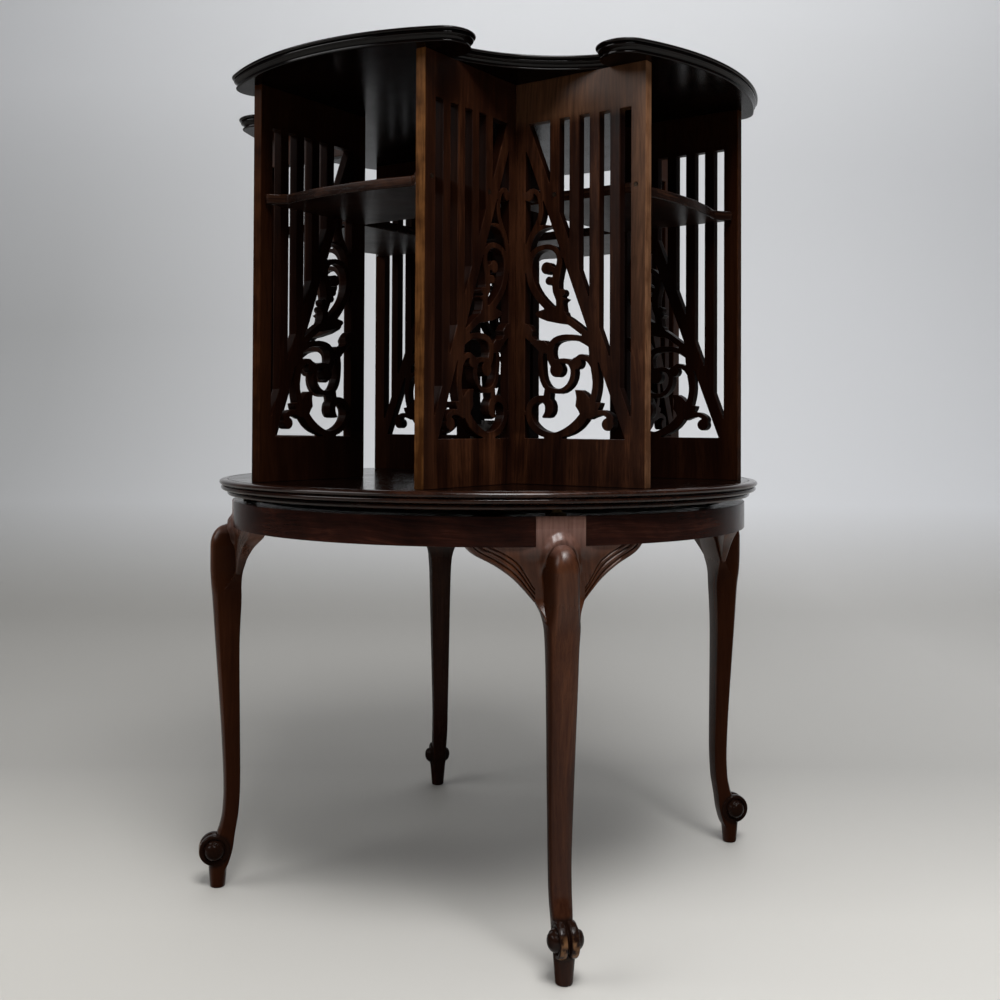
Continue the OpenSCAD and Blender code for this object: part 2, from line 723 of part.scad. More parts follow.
// Balls and berries: [x, y, radius]
BALLS = [
    [45.7, 106.8, 6.8], [67, 112.5, 5.5], [100.3, 56.3, 5.8], [34.5, 202, 5.7], [37.5, 190, 4],
    [50.6, 178, 3.6], [14.5, 271.5, 5]
];

// Broad leaves as outlines
LEAVES = [
    // leaf on the inner stile
    [[8, 151.5], [13.5, 150.5], [17, 147.5], [19.5, 143.5], [18, 139.5], [20.5, 136.5], [25, 134.8], [32, 134.8],
     [37, 129], [34, 122], [27, 123.5], [22, 128.5], [16, 134], [8, 140]],
    // leaf inside the great lower scroll
    [[66, 88], [72, 87.8], [77, 85], [80.5, 81], [84, 77], [80, 70], [72, 64], [69.5, 69], [66.5, 73], [67.5, 81]],
    // leaf tip outside it
    [[84, 78], [88, 76.4], [92.8, 75.8], [92, 72.8], [90.5, 70], [90, 66], [84, 66]],
    // leaf along the great upper scroll
    [[55, 160], [42, 166], [30, 163.3], [24, 162], [22, 159.5], [25, 156.5], [35, 152.5], [50, 149.3], [60, 148]],
    // thorn on the leafy end
    [[49, 175], [56.5, 172], [51, 168]]
];

open_w = panel_l - stile_in - stile_out;
open_h = panel_h - rail_low - rail_top;
draw_x = open_w / DRAWN_OPENING.x;
draw_y = open_h / DRAWN_OPENING.y;
function drawn_x(x) = stile_in + (x - DRAWN_CORNER.x) * draw_x;
function drawn_y(y) = rail_low + (y - DRAWN_CORNER.y) * draw_y;

// Diagonal bar: its upper edge falls from the top rail to the outer stile
diagonal_x = stile_in + diagonal_top_in;
diagonal_fall = (open_h - diagonal_foot_up) / (open_w - diagonal_top_in);
diagonal_drop = diagonal_w * sqrt(1 + diagonal_fall * diagonal_fall);
function diagonal_y(x) = panel_h - rail_top - (x - diagonal_x) * diagonal_fall;

module opening_clip(grow) {
    translate([stile_in - grow, rail_low - grow]) square([open_w + 2 * grow, open_h + 2 * grow]);
}

module fret() {
    x_end = panel_l;
    intersection() {
        opening_clip(overlap / 2);
        union() {
            polygon([[0, diagonal_y(0)], [x_end, diagonal_y(x_end)],
                     [x_end, diagonal_y(x_end) - diagonal_drop], [0, diagonal_y(0) - diagonal_drop]]);
            for (k = [1 : slat_n]) {
                x = panel_l - stile_out - k * (slot_w + slat_w);
                polygon([[x, panel_h], [x + slat_w, panel_h],
                         [x + slat_w, diagonal_y(x + slat_w) - diagonal_drop / 3],
                         [x, diagonal_y(x) - diagonal_drop / 3]]);
            }
            for (line = STROKES) stroke([for (p = line) [drawn_x(p.x), drawn_y(p.y), p.z]]);
            for (ball = BALLS) translate([drawn_x(ball.x), drawn_y(ball.y)]) circle(ball.z, $fn = 32);
            for (leaf = LEAVES) polygon([for (p = leaf) [drawn_x(p.x), drawn_y(p.y)]]);
        }
    }
}

// One outline for the whole panel, its inner corners rounded by the saw
module panel_outline() {
    offset(r = -saw_r, $fn = 12) offset(delta = saw_r) {
        difference() {
            translate([-panel_t, 0]) square([panel_l + panel_t, panel_h]);
            opening_clip(0);
        }
        fret();
    }
}

// Nail through a panel into a shelf's end, its head's face at the origin, pointing along -Y
module nail(clear) {
    rotate([90, 0, 0]) {
        cylinder(r = nail_head_d / 2 + clear, h = nail_head_t, $fn = 32);
        cylinder(r = nail_d / 2 + clear, h = nail_l, $fn = 32);
    }
}

// Panel on one hand of the bay that faces +X
module panel(turn, hand) {
    color(DARK_WOOD) rotate(turn) mirror([0, hand < 0 ? 1 : 0, 0]) difference() {
        translate([wall_out, wall_out, z_case]) rotate([90, 0, 0]) linear_extrude(panel_t) panel_outline();
        // mitre against the next bay's panel
        rotate(45) translate([0, 0, z_case - overlap])
            cube([2 * wall_out, wall_out, panel_h + 2 * overlap]);
        for (place = nail_places) translate([wall_out + place, wall_out, z_shelf + shelf_t / 2]) nail(fix_clear);
        for (place = dowel_places) translate([wall_out + place, half_bay + panel_t / 2, 0]) {
            translate([0, 0, z_case - overlap])
                cylinder(r = dowel_d / 2 + fix_clear, h = dowel_in_panel + overlap, $fn = 32);
            translate([0, 0, z_top - dowel_in_panel])
                cylinder(r = dowel_d / 2 + fix_clear, h = dowel_in_panel + overlap, $fn = 32);
        }
    }
}

module panel_foot_dowels() {
    color(PALE_WOOD) at_dowels() translate([0, 0, z_case - dowel_in_board])
        cylinder(d = dowel_d, h = dowel_in_board + dowel_in_panel, $fn = 32);
}

module panel_top_dowels() {
    color(PALE_WOOD) at_dowels() translate([0, 0, z_top - dowel_in_panel])
        cylinder(d = dowel_d, h = dowel_in_board + dowel_in_panel, $fn = 32);
}

// Front edge of the shelf of the +X bay, from one panel to the other
function shelf_front_edge() =
    let (
        corner = bay_reach - shelf_set_back,
        hollow = corner - shelf_hollow,
        bow_half = half_bay - shelf_sweep,
        bow_r = (bow_half * bow_half + shelf_bow * shelf_bow) / (2 * shelf_bow),
        bow_angle = asin(bow_half / bow_r),
        lip = 5,
        sweep = curve([
            [corner, half_bay], [corner, half_bay - lip], [corner - 0.62 * shelf_hollow, half_bay - 0.6 * shelf_sweep],
            [hollow, bow_half]
        ], fine_steps),
        bow = arc([hollow + shelf_bow - bow_r, 0], bow_r, bow_angle, -bow_angle, 16),
        near = [for (p = backwards(sweep)) [p.x, -p.y]]
    ) concat(sweep, [for (i = [1 : len(bow) - 2]) bow[i]], near);

module shelf(turn) {
    inner = half_bay + shelf_inner_gap;
    color(DARK_WOOD) rotate(turn) difference() {
        translate([0, 0, z_shelf]) linear_extrude(shelf_t)
            polygon(concat([[inner, -half_bay], [inner, half_bay]], shelf_front_edge()));
        for (hand = [0, 1]) mirror([0, hand, 0]) for (place = nail_places)
            translate([wall_out + place, wall_out, z_shelf + shelf_t / 2]) nail(fix_clear);
    }
}

module shelf_nails() {
    color(IRON) at_bays() for (hand = [0, 1]) mirror([0, hand, 0]) for (place = nail_places)
        translate([wall_out + place, wall_out, z_shelf + shelf_t / 2]) nail(0);
}

// Top outline, drawn in by the given amount: lobes over the bays, hollows over the corners
function top_quarter(inset) =
    let (
        r = top_d / 2 - inset,
        end_r = lobe_r - inset,
        centre = (top_d / 2 - lobe_r) * [cos(lobe_angle), sin(lobe_angle)],
        hollow_r = notch_r + inset,
        hollow_mid = [notch_in + notch_r, 0],
        span = norm(hollow_mid - centre),
        lean = atan2(hollow_mid.y - centre.y, hollow_mid.x - centre.x),
        reach = acos((span * span + end_r * end_r - hollow_r * hollow_r) / (2 * span * end_r)),
        meet_angle = lean - reach,
        meet = centre + end_r * [cos(meet_angle), sin(meet_angle)],
        hollow_half = asin(meet.y / hollow_r),
        round_end = arc(centre, end_r, meet_angle, lobe_angle, 12),
        lobe_end = [for (i = [1 : len(round_end) - 1]) round_end[i]]
    ) concat(
        arc(hollow_mid, hollow_r, 180 + hollow_half, 180 - hollow_half, 10),
        lobe_end,
        [for (k = [1 : 11]) let (a = lobe_angle + (90 - 2 * lobe_angle) * k / 12) r * [cos(a), sin(a)]],
        turned([for (p = backwards(lobe_end)) [p.x, -p.y]], 90)
    );

module top_layer(z, h, inset) {
    translate([0, 0, z_top + z]) linear_extrude(h)
        polygon([for (turn = [FRONT, RIGHT, BACK, LEFT]) each turned(top_quarter(inset), turn + 45)]);
}

module top_board() {
    cove_h = top_t - low_bead_h - mid_bead_h - wide_bead_h - ease_h;
    color(DARK_WOOD) difference() {
        union() {
            top_layer(0, low_bead_h, low_bead_in);
            top_layer(low_bead_h, cove_h, cove_in);
            top_layer(low_bead_h + cove_h, mid_bead_h, mid_bead_in);
            top_layer(low_bead_h + cove_h + mid_bead_h, wide_bead_h, 0);
            top_layer(top_t - ease_h, ease_h, 1.2);
        }
        at_dowels() translate([0, 0, z_top - overlap])
            cylinder(r = dowel_d / 2 + fix_clear, h = dowel_in_board + overlap, $fn = 32);
    }
}

leg(0);  // leg_front_right
leg(1);  // leg_back_right
leg(2);  // leg_back_left
leg(3);  // leg_front_left
ears(0);  // ears_front_right
ears(1);  // ears_back_right
ears(2);  // ears_back_left
ears(3);  // ears_front_left
apron(0);  // apron_right
apron(1);  // apron_back
apron(2);  // apron_left
apron(3);  // apron_front
cross_rail_lower();
cross_rail_upper();
stand_board();
pivot_plate();
pivot_plate_screws();
spindle();
thrust_ring();
washer(z_upper_washer);  // upper_washer
nut(z_upper_nut);  // upper_nut
washer(z_rail - washer_t);  // lower_washer
nut(z_lower_nut);  // lower_nut
roller_housings();
roller_pins();
roller(0);  // roller_front_right
roller(1);  // roller_back_right
roller(2);  // roller_back_left
roller(3);  // roller_front_left
base_disc();
lower_bush();
hub_block();
upper_bush();
hub_screws();
panel(FRONT, -1);  // panel_front_left
panel(FRONT, 1);  // panel_front_right
panel(RIGHT, -1);  // panel_right_front
panel(RIGHT, 1);  // panel_right_back
panel(BACK, -1);  // panel_back_right
panel(BACK, 1);  // panel_back_left
panel(LEFT, -1);  // panel_left_back
panel(LEFT, 1);  // panel_left_front
shelf(FRONT);  // shelf_front
shelf(RIGHT);  // shelf_right
shelf(BACK);  // shelf_back
shelf(LEFT);  // shelf_left
shelf_nails();
panel_foot_dowels();
panel_top_dowels();
top_board();
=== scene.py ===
"""Looks of a revolving bookcase in dark polished wood, dressed over the CAD frame."""

import math

import bmesh
import bpy
import numpy as np
from mathutils import Matrix, Vector


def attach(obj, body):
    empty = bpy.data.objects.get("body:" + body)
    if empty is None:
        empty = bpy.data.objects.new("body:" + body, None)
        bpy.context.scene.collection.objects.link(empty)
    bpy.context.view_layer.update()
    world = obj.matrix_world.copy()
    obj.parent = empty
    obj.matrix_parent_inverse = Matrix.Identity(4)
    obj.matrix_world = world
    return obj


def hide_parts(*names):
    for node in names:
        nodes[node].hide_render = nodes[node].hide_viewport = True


MM = 0.001

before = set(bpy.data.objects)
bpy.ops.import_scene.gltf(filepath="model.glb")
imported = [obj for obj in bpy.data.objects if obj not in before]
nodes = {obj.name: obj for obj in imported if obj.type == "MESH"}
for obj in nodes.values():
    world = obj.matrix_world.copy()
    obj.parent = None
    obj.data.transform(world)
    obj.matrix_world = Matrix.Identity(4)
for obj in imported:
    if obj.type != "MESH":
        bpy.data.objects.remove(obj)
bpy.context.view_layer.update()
scene = bpy.context.scene

# Sizes of the CAD part, in millimetres
Z_APRON = 361.5
Z_STAND = 387.5
Z_TOP = 787.0
APRON_R = 267.0
BLOCK_HALF = 22.0
EAR_R = 264.5
EAR_REACH = 57.0
EAR_DROP = 47.0
EAR_T = 16.0
EAR_FOOT_T = 5.0
SCROLL_UP = 37.5
SCROLL_OUT = 15.0
SCROLL_R = 15.2
SCROLL_HALF = 8.75
PEG_OUT = 11.5
TOP_R = 280.0
TOP_T = 13.0
LOBE_R = 27.0
LOBE_ANGLE = 18.6
NOTCH_R = 150.0
NOTCH_IN = 202.0
PANEL_END = 242.5
WALL_OUT = 104.0
RAIL_TOP = 455.0
FRET_TOP = 743.0
Z_DISC = 393.0
DISC_R = 280.0
DISC_T = 16.0
BUSH_R = 12.05
FLANGE_R = 20.0
FLANGE_T = 3.0
ROLLER_TRACK = 248.0
POCKET_L = 15.8
POCKET_W = 14.0
POCKET_FLOOR = 378.0

SIDES = ["front_right", "back_right", "back_left", "front_left"]
LEG_TURNS = [-41.2, 48.8, 138.8, 228.8]
SHARP_ANGLE = 40
LEG_SHARP_ANGLE = 42
EASE_ANGLE = 38
FLAT_ANGLE = 0.3


# Materials


class Graph:
    """Shorthand for the nodes of one material."""

    def __init__(self, name):
        self.material = bpy.data.materials.new(name)
        self.material.use_nodes = True
        self.tree = self.material.node_tree
        self.shader = self.tree.nodes["Principled BSDF"]

    def node(self, kind, **settings):
        made = self.tree.nodes.new(kind)
        for key, value in settings.items():
            setattr(made, key, value)
        return made

    def put(self, socket, value):
        if isinstance(value, bpy.types.NodeSocket):
            self.tree.links.new(value, socket)
        else:
            socket.default_value = value

    def math(self, operation, a, b=0.0, clamp=False):
        made = self.node("ShaderNodeMath", operation=operation, use_clamp=clamp)
        self.put(made.inputs[0], a)
        self.put(made.inputs[1], b)
        return made.outputs[0]

    def vector(self, operation, a, b):
        made = self.node("ShaderNodeVectorMath", operation=operation)
        self.put(made.inputs[0], a)
        self.put(made.inputs[1], b)
        return made.outputs[0]

    def along(self, vector, direction):
        made = self.node("ShaderNodeVectorMath", operation="DOT_PRODUCT")
        self.put(made.inputs[0], vector)
        self.put(made.inputs[1], direction)
        return made.outputs["Value"]

    def place(self):
        return self.node("ShaderNodeTexCoord").outputs["Object"]

    def parts(self, vector):
        made = self.node("ShaderNodeSeparateXYZ")
        self.put(made.inputs[0], vector)
        return made.outputs

    def join(self, x, y, z):
        made = self.node("ShaderNodeCombineXYZ")
        for socket, value in zip(made.inputs, (x, y, z)):
            self.put(socket, value)
        return made.outputs[0]

    def noise(self, vector, scale, detail=2.0, roughness=0.5, output="Fac"):
        made = self.node("ShaderNodeTexNoise")
        self.put(made.inputs["Vector"], vector)
        self.put(made.inputs["Scale"], scale)
        self.put(made.inputs["Detail"], detail)
        self.put(made.inputs["Roughness"], roughness)
        return made.outputs[output]

    def span(self, value, low, high, to_low=0.0, to_high=1.0):
        made = self.node("ShaderNodeMapRange", clamp=True)
        for socket, number in zip(made.inputs, (value, low, high, to_low, to_high)):
            self.put(socket, number)
        return made.outputs[0]

    def ramp(self, value, stops):
        made = self.node("ShaderNodeValToRGB")
        elements = made.color_ramp.elements
        while len(elements) < len(stops):
            elements.new(0.5)
        for element, (position, tone) in zip(elements, stops):
            element.position = position
            element.color = (*tone, 1.0)
        self.put(made.inputs[0], value)
        return made.outputs["Color"]

    def mix(self, factor, a, b, blend="MIX"):
        made = self.node("ShaderNodeMix", data_type="RGBA", blend_type=blend)
        self.put(made.inputs[0], factor)
        self.put(made.inputs[6], a)
        self.put(made.inputs[7], b)
        return made.outputs[2]

    def bump(self, height, distance, strength):
        made = self.node("ShaderNodeBump")
        self.put(made.inputs["Height"], height)
        self.put(made.inputs["Distance"], distance)
        self.put(made.inputs["Strength"], strength)
        self.put(self.shader.inputs["Normal"], made.outputs[0])

    def set(self, **inputs):
        for key, value in inputs.items():
            self.put(self.shader.inputs[key.replace("_", " ")], value)


# How much the pattern is drawn out along each kind of grain
GRAINS = {"x": (0.05, 1.0, 1.0), "y": (1.0, 0.05, 1.0), "z": (1.0, 1.0, 0.05), "round": (0.05, 1.0, 1.0)}
FLAME_LEAN = 0.8
SWAY = 0.016
SWAY_SCALE = 8.0
BAND_SCALE = 46.0
LINE_SCALE = 420.0
PORE_SCALE = 1700.0
PORE_SHARE = 0.55
GRAIN_DEPTH = 0.0002
GRAIN_STRENGTH = 0.14
BOARD_SHIFT = 3.7
SOFT_SHINE = 0.16
INSIDE_SHINE = 0.02


def grained(g, tones, grain, boards=0.0):
    """Colour, lines and pores of sawn wood: slow bands, fine lines and short pores along the grain."""
    place = g.place()
    flat = place
    if grain == "round":
        x, y, z = g.parts(place)
        around = g.math("MULTIPLY", g.math("ARCTAN2", y, x), APRON_R * MM)
        flat = g.join(around, z, 0.0)
        leaning = g.math("ADD", around, g.math("MULTIPLY", z, FLAME_LEAN))
        figure = g.noise(g.join(leaning, g.math("MULTIPLY", z, 0.8), 0.0), 26.0, 3.0, 0.6)
    else:
        figure = g.noise(place, 22.0, 2.0)
    sway = g.vector("SUBTRACT", g.noise(flat, SWAY_SCALE, 1.0, output="Color"), (0.5, 0.5, 0.5))
    swayed = g.vector("ADD", flat, g.vector("MULTIPLY", sway, (SWAY, SWAY, SWAY)))
    if boards:
        across = g.parts(place)[1 if grain == "x" else 0]
        board = g.math("FLOOR", g.math("DIVIDE", across, boards))
        swayed = g.vector("ADD", swayed, g.join(0.0, 0.0, g.math("MULTIPLY", board, BOARD_SHIFT)))
    drawn = g.vector("MULTIPLY", swayed, GRAINS[grain])
    bands = g.noise(drawn, BAND_SCALE, 2.0, 0.55)
    lines = g.noise(drawn, LINE_SCALE, 4.0, 0.62)
    pores = g.span(g.noise(drawn, PORE_SCALE, 1.0), 0.60, 0.70)
    bold = 0.30 if grain == "round" else 0.20
    mixed = g.math("ADD", g.math("MULTIPLY", bands, 0.65 - bold), g.math("MULTIPLY", lines, 0.35))
    mixed = g.math("ADD", mixed, g.math("MULTIPLY", figure, bold))
    dark, middle, light = tones
    colour = g.ramp(mixed, [(0.36, dark), (0.5, middle), (0.64, light)])
    colour = g.mix(g.math("MULTIPLY", pores, PORE_SHARE), colour, (*dark, 1.0))
    return colour, lines, pores


def polished(g, colour, lines, pores, gloss, shine):
    """Rubbed film over wood: a soft shine with smudges, broken by the pores."""
    smudge = g.noise(g.place(), 30.0, 3.0, 0.6)
    rough = g.math("ADD", g.math("MULTIPLY", smudge, 0.16), g.math("MULTIPLY", lines, 0.08))
    rough = g.math("ADD", g.math("SUBTRACT", rough, 0.12), gloss)
    g.set(Base_Color=colour, Roughness=rough, Specular_IOR_Level=shine)
    height = g.math("SUBTRACT", g.math("MULTIPLY", lines, 0.5), pores)
    g.bump(height, GRAIN_DEPTH, GRAIN_STRENGTH)
    return g.material


def wood(name, tones, grain, gloss, boards=0.0, shine=SOFT_SHINE):
    g = Graph(name)
    return polished(g, *grained(g, tones, grain, boards), gloss, shine)


# Heights between which the painted light on the walls' faces beside the ends changes from its amount at
# the foot to its amount at the top, and from which the painted shade on the slats fades
PAINTED_LIGHT_LOW = 500.0
PAINTED_LIGHT_HIGH = 720.0
SLAT_SHADE_FADE_LOW = 600.0


def panel_wood(name, tones, gloss, worn, beside_end_light, shaded_beside_end, shine):
    """Wood of the walls: darker inside the bays and in the fret, a painted shade that fades towards the
    top of the slats; rubbed pale on the ends at the mouth; painted light on the faces beside the ends,
    painted shade there instead on the shaded kind, and a painted sheen on the top rail."""
    g = Graph(name)
    colour, lines, pores = grained(g, tones, "z")
    x, y, z = g.parts(g.place())
    wide, deep = g.math("ABSOLUTE", x), g.math("ABSOLUTE", y)
    # Painted shade: the faces inside the bays are darkened towards the darkest tone, and only the outer
    # faces keep their colour.
    outer = g.span(g.math("MINIMUM", wide, deep), (WALL_OUT - 1.4) * MM, (WALL_OUT - 0.6) * MM)
    colour = g.mix(g.span(outer, 0.0, 1.0, 0.8, 0.0), colour, (*tones[0], 1.0))
    reach = g.math("MAXIMUM", wide, deep)
    # Painted shade in the fret, away from the ends, fading towards the top of the slats.
    above = g.span(z, RAIL_TOP * MM, (RAIL_TOP + 3) * MM)
    below = g.span(z, (FRET_TOP + 5) * MM, (FRET_TOP - 5) * MM)
    fret_shade = g.math("MULTIPLY", above, below)
    inner = g.span(reach, (PANEL_END - 15) * MM, (PANEL_END - 18) * MM, 0.0, 0.5)
    fret_shade = g.math("MULTIPLY", fret_shade, inner)
    fret_shade = g.math("MULTIPLY", fret_shade, g.span(z, SLAT_SHADE_FADE_LOW * MM, PAINTED_LIGHT_HIGH * MM, 1.0, 0.3))
    colour = g.mix(fret_shade, colour, (*tones[0], 1.0))
    end = g.span(reach, (PANEL_END - 1.1) * MM, (PANEL_END - 0.5) * MM)
    patches = g.math("MULTIPLY", g.math("ADD", lines, g.noise(g.place(), 60.0, 2.0)), 0.5)
    more_worn = g.math("ADD", patches, g.span(z, RAIL_TOP * MM, Z_TOP * MM, -0.08, 0.07))
    worn_tone = g.ramp(more_worn, [(0.38, worn[0]), (0.62, worn[1])])
    # Painted light on the faces beside the ends, and painted shade there instead on the shaded kind.
    painted_beside_end = g.span(reach, (PANEL_END - 22) * MM, (PANEL_END - 6) * MM)
    # Painted sheen on the top rail.
    painted_beside_end = g.math("MAXIMUM", painted_beside_end, g.span(z, (FRET_TOP - 1) * MM, (FRET_TOP + 9) * MM, 0.0, 0.75))
    painted_beside_end = g.math("MULTIPLY", painted_beside_end, g.span(z, PAINTED_LIGHT_LOW * MM, PAINTED_LIGHT_HIGH * MM, *beside_end_light))
    beside_end_tone = tones[0] if shaded_beside_end else [0.65 * pale + 0.35 * bare for pale, bare in zip(*worn)]
    painted_beside_end = g.math("MULTIPLY", painted_beside_end, g.span(lines, 0.35, 0.65, 0.45, 1.0))
    colour = g.mix(painted_beside_end, colour, (*beside_end_tone, 1.0))
    shine = g.span(g.math("SUBTRACT", outer, g.math("MULTIPLY", end, 0.7)), 0.0, 1.0, INSIDE_SHINE, shine)
    return polished(g, g.mix(end, colour, worn_tone), lines, pores, gloss, shine)


# Heights of the changes on a leg: darker towards the foot, painted shade on the flanks, and more shine on
# the knee
LEG_DARK_FROM = 300.0
LEG_DARK_TO = 50.0
FLANK_LOW = 260.0
FLANK_HIGH = 320.0
SHEEN_LOW = 290.0
SHEEN_FULL = 320.0
SHEEN_TOP = 376.0


def leg_wood(name, tones, gloss, shine):
    """Wood of the legs: darker towards the foot, a painted sheen on the blocks, soft and bright on the
    knees, less shine and painted shade on the flanks, darkened in the carved feet and rubbed bare on their
    bands."""
    g = Graph(name)
    colour, lines, pores = grained(g, tones, "z")
    x, y, z = g.parts(g.place())
    out = g.math("SQRT", g.math("ADD", g.math("MULTIPLY", x, x), g.math("MULTIPLY", y, y)))
    facing = g.node("ShaderNodeTexCoord").outputs["Normal"]
    sideways = g.math("DIVIDE", g.along(facing, g.join(g.math("MULTIPLY", y, -1.0), x, 0.0)), out)
    sideways = g.math("ABSOLUTE", sideways)
    colour = g.mix(g.span(z, LEG_DARK_FROM * MM, LEG_DARK_TO * MM, 0.0, 0.55), colour, (*LOW_LEG, 1.0))
    # Painted shade on the flanks, which also lose shine there.
    flank_shade = g.span(z, FLANK_LOW * MM, FLANK_HIGH * MM, 0.6, 0.9)
    flank_shade = g.math("MULTIPLY", g.span(sideways, 0.6, 0.9), flank_shade)
    colour = g.mix(flank_shade, colour, (*tones[0], 1.0))
    # Painted sheen: the blocks are mixed towards a paler tone.
    block_sheen = g.span(z, (Z_APRON - 8) * MM, (Z_APRON + 14) * MM, 0.0, 0.9)
    colour = g.mix(g.math("MULTIPLY", block_sheen, g.span(lines, 0.3, 0.6, 0.6, 1.0)), colour, (*BLOCK_SHEEN, 1.0))
    away = g.math("SUBTRACT", out, (APRON_R + SCROLL_OUT) * MM)
    rise = g.math("SUBTRACT", z, SCROLL_UP * MM)
    ring = g.math("SQRT", g.math("ADD", g.math("MULTIPLY", away, away), g.math("MULTIPLY", rise, rise)))
    carved = g.span(ring, (SCROLL_R + 3) * MM, SCROLL_R * MM, 0.0, 0.85)
    colour = g.mix(carved, colour, (*CARVED, 1.0))
    band = g.span(ring, (SCROLL_R - 0.8) * MM, (SCROLL_R - 0.1) * MM)
    band = g.math("MULTIPLY", band, g.span(ring, (SCROLL_R + 1.2) * MM, (SCROLL_R + 0.4) * MM))
    front = g.math("MULTIPLY", g.span(away, 4 * MM, 10 * MM), g.span(rise, 9 * MM, 3 * MM))
    spots = g.span(g.noise(g.place(), 150.0, 3.0), 0.38, 0.58)
    rubbed = g.math("MULTIPLY", g.math("MULTIPLY", band, front), spots)
    colour = g.mix(rubbed, colour, (*BARE, 1.0))
    knee = g.span(z, SHEEN_LOW * MM, SHEEN_FULL * MM)
    knee = g.math("MULTIPLY", knee, g.span(z, (SHEEN_TOP + 4) * MM, SHEEN_TOP * MM))
    gloss = g.math("ADD", g.math("MULTIPLY", knee, 0.14), gloss)
    shine = g.math("ADD", g.math("MULTIPLY", knee, 0.2), shine)
    shine = g.math("MULTIPLY", shine, g.span(sideways, 0.5, 0.9, 1.0, 0.08))
    return polished(g, colour, lines, pores, gloss, shine)


def metal(name, tone, tarnish, rough):
    """Old metal with a tarnished film, fine scratches and dull patches."""
    g = Graph(name)
    place = g.place()
    patches = g.noise(place, 160.0, 4.0, 0.6)
    scratches = g.noise(g.vector("MULTIPLY", place, (1.0, 1.0, 0.1)), 2600.0, 2.0)
    colour = g.mix(g.span(patches, 0.42, 0.62), (*tone, 1.0), (*tarnish, 1.0))
    roughness = g.math("ADD", g.math("MULTIPLY", patches, 0.3), rough - 0.1)
    g.set(Base_Color=colour, Roughness=roughness, Metallic=1.0)
    g.bump(scratches, 0.0001, 0.2)
    return g.material


DARK = ((0.006, 0.0017, 0.0009), (0.026, 0.0082, 0.0036), (0.080, 0.028, 0.0120))
BOARD = ((0.005, 0.0018, 0.0011), (0.016, 0.0054, 0.0030), (0.042, 0.016, 0.0085))
# Darker copy of the board tone, for the shelves: painted shade under them.
SHELF_SHADE = ((0.003, 0.0011, 0.0007), (0.009, 0.0030, 0.0017), (0.022, 0.0085, 0.0047))
RUBBED = ((0.004, 0.0017, 0.0011), (0.012, 0.0048, 0.0029), (0.050, 0.0205, 0.0110))
RIM = ((0.001, 0.0005, 0.0004), (0.003, 0.0012, 0.0008), (0.007, 0.0028, 0.0018))
APRON = ((0.006, 0.0016, 0.0010), (0.020, 0.0054, 0.0032), (0.050, 0.0155, 0.0088))
RED = ((0.019, 0.0056, 0.0022), (0.045, 0.0140, 0.0056), (0.086, 0.030, 0.0125))
# Paler tone for the eased arrises of the walls: a painted highlight.
EDGE_HIGHLIGHT = ((0.060, 0.022, 0.011), (0.125, 0.050, 0.025), (0.24, 0.105, 0.057))
# Near-black tone for the top's underside and the disc's top: painted shade.
UNDER_SHADE = ((0.001, 0.0005, 0.0004), (0.0025, 0.0010, 0.0007), (0.006, 0.0024, 0.0016))
# Darker copy of the leg tones, for the back leg: painted shade.
RED_SHADED = ((0.006, 0.0018, 0.0008), (0.014, 0.0044, 0.0020), (0.030, 0.0100, 0.0046))
PLAIN = ((0.03, 0.016, 0.009), (0.06, 0.033, 0.018), (0.11, 0.065, 0.038))
PALE = ((0.22, 0.13, 0.07), (0.34, 0.22, 0.12), (0.46, 0.32, 0.19))
# Paler tone of the leg blocks: a painted sheen.
BLOCK_SHEEN = (0.240, 0.130, 0.105)
LOW_LEG = (0.014, 0.0048, 0.0034)
CARVED = (0.008, 0.0038, 0.0026)
BARE = (0.16, 0.078, 0.034)
# Ends of the walls, from little to much rubbed
WORN = [
    ((0.014, 0.0042, 0.0016), (0.040, 0.0130, 0.0046)),
    ((0.042, 0.0150, 0.0044), (0.150, 0.062, 0.0190)),
    ((0.080, 0.034, 0.0155), (0.20, 0.098, 0.050)),
]
# How much painted light the faces beside the ends take, at the foot and at the top, and which kind takes
# painted shade there instead; the same amounts set the painted sheen on the top rail
BESIDE_END_LIGHT = [(0.8, 0.8), (0.75, 0.35), (0.05, 1.0)]
SHADED_BESIDE_END = [False, True, False]

BOARD_W = 0.19
PANEL_WOODS = []
PANEL_EDGE_HIGHLIGHTS = []
for number, (worn, beside_end_light, shaded_beside_end) in enumerate(zip(WORN, BESIDE_END_LIGHT, SHADED_BESIDE_END)):
    PANEL_WOODS.append(panel_wood("panel_wood_%d" % number, DARK, 0.33, worn, beside_end_light, shaded_beside_end, 0.14))
    # The eased arrises take the paler tone: painted highlight along the edges.
    PANEL_EDGE_HIGHLIGHTS.append(panel_wood("panel_edge_highlight_%d" % number, EDGE_HIGHLIGHT, 0.20, worn, beside_end_light, shaded_beside_end, 0.4))
SHELF_WOOD_X = wood("shelf_wood_x", SHELF_SHADE, "x", 0.36, shine=0.04)
SHELF_WOOD_Y = wood("shelf_wood_y", SHELF_SHADE, "y", 0.36, shine=0.04)
SHELF_EDGE = wood("shelf_edge", RUBBED, "round", 0.22, shine=0.12)
RIM_WOOD = wood("rim_wood", RIM, "x", 0.09, boards=BOARD_W, shine=0.18)
BOARD_WOOD = wood("board_wood", BOARD, "x", 0.13, boards=BOARD_W, shine=0.22)
# The disc's top inside the rim: painted shade under the top board.
DISC_TOP_SHADE_WOOD = wood("disc_top_shaded_wood", UNDER_SHADE, "x", 0.14, boards=BOARD_W, shine=0.1)
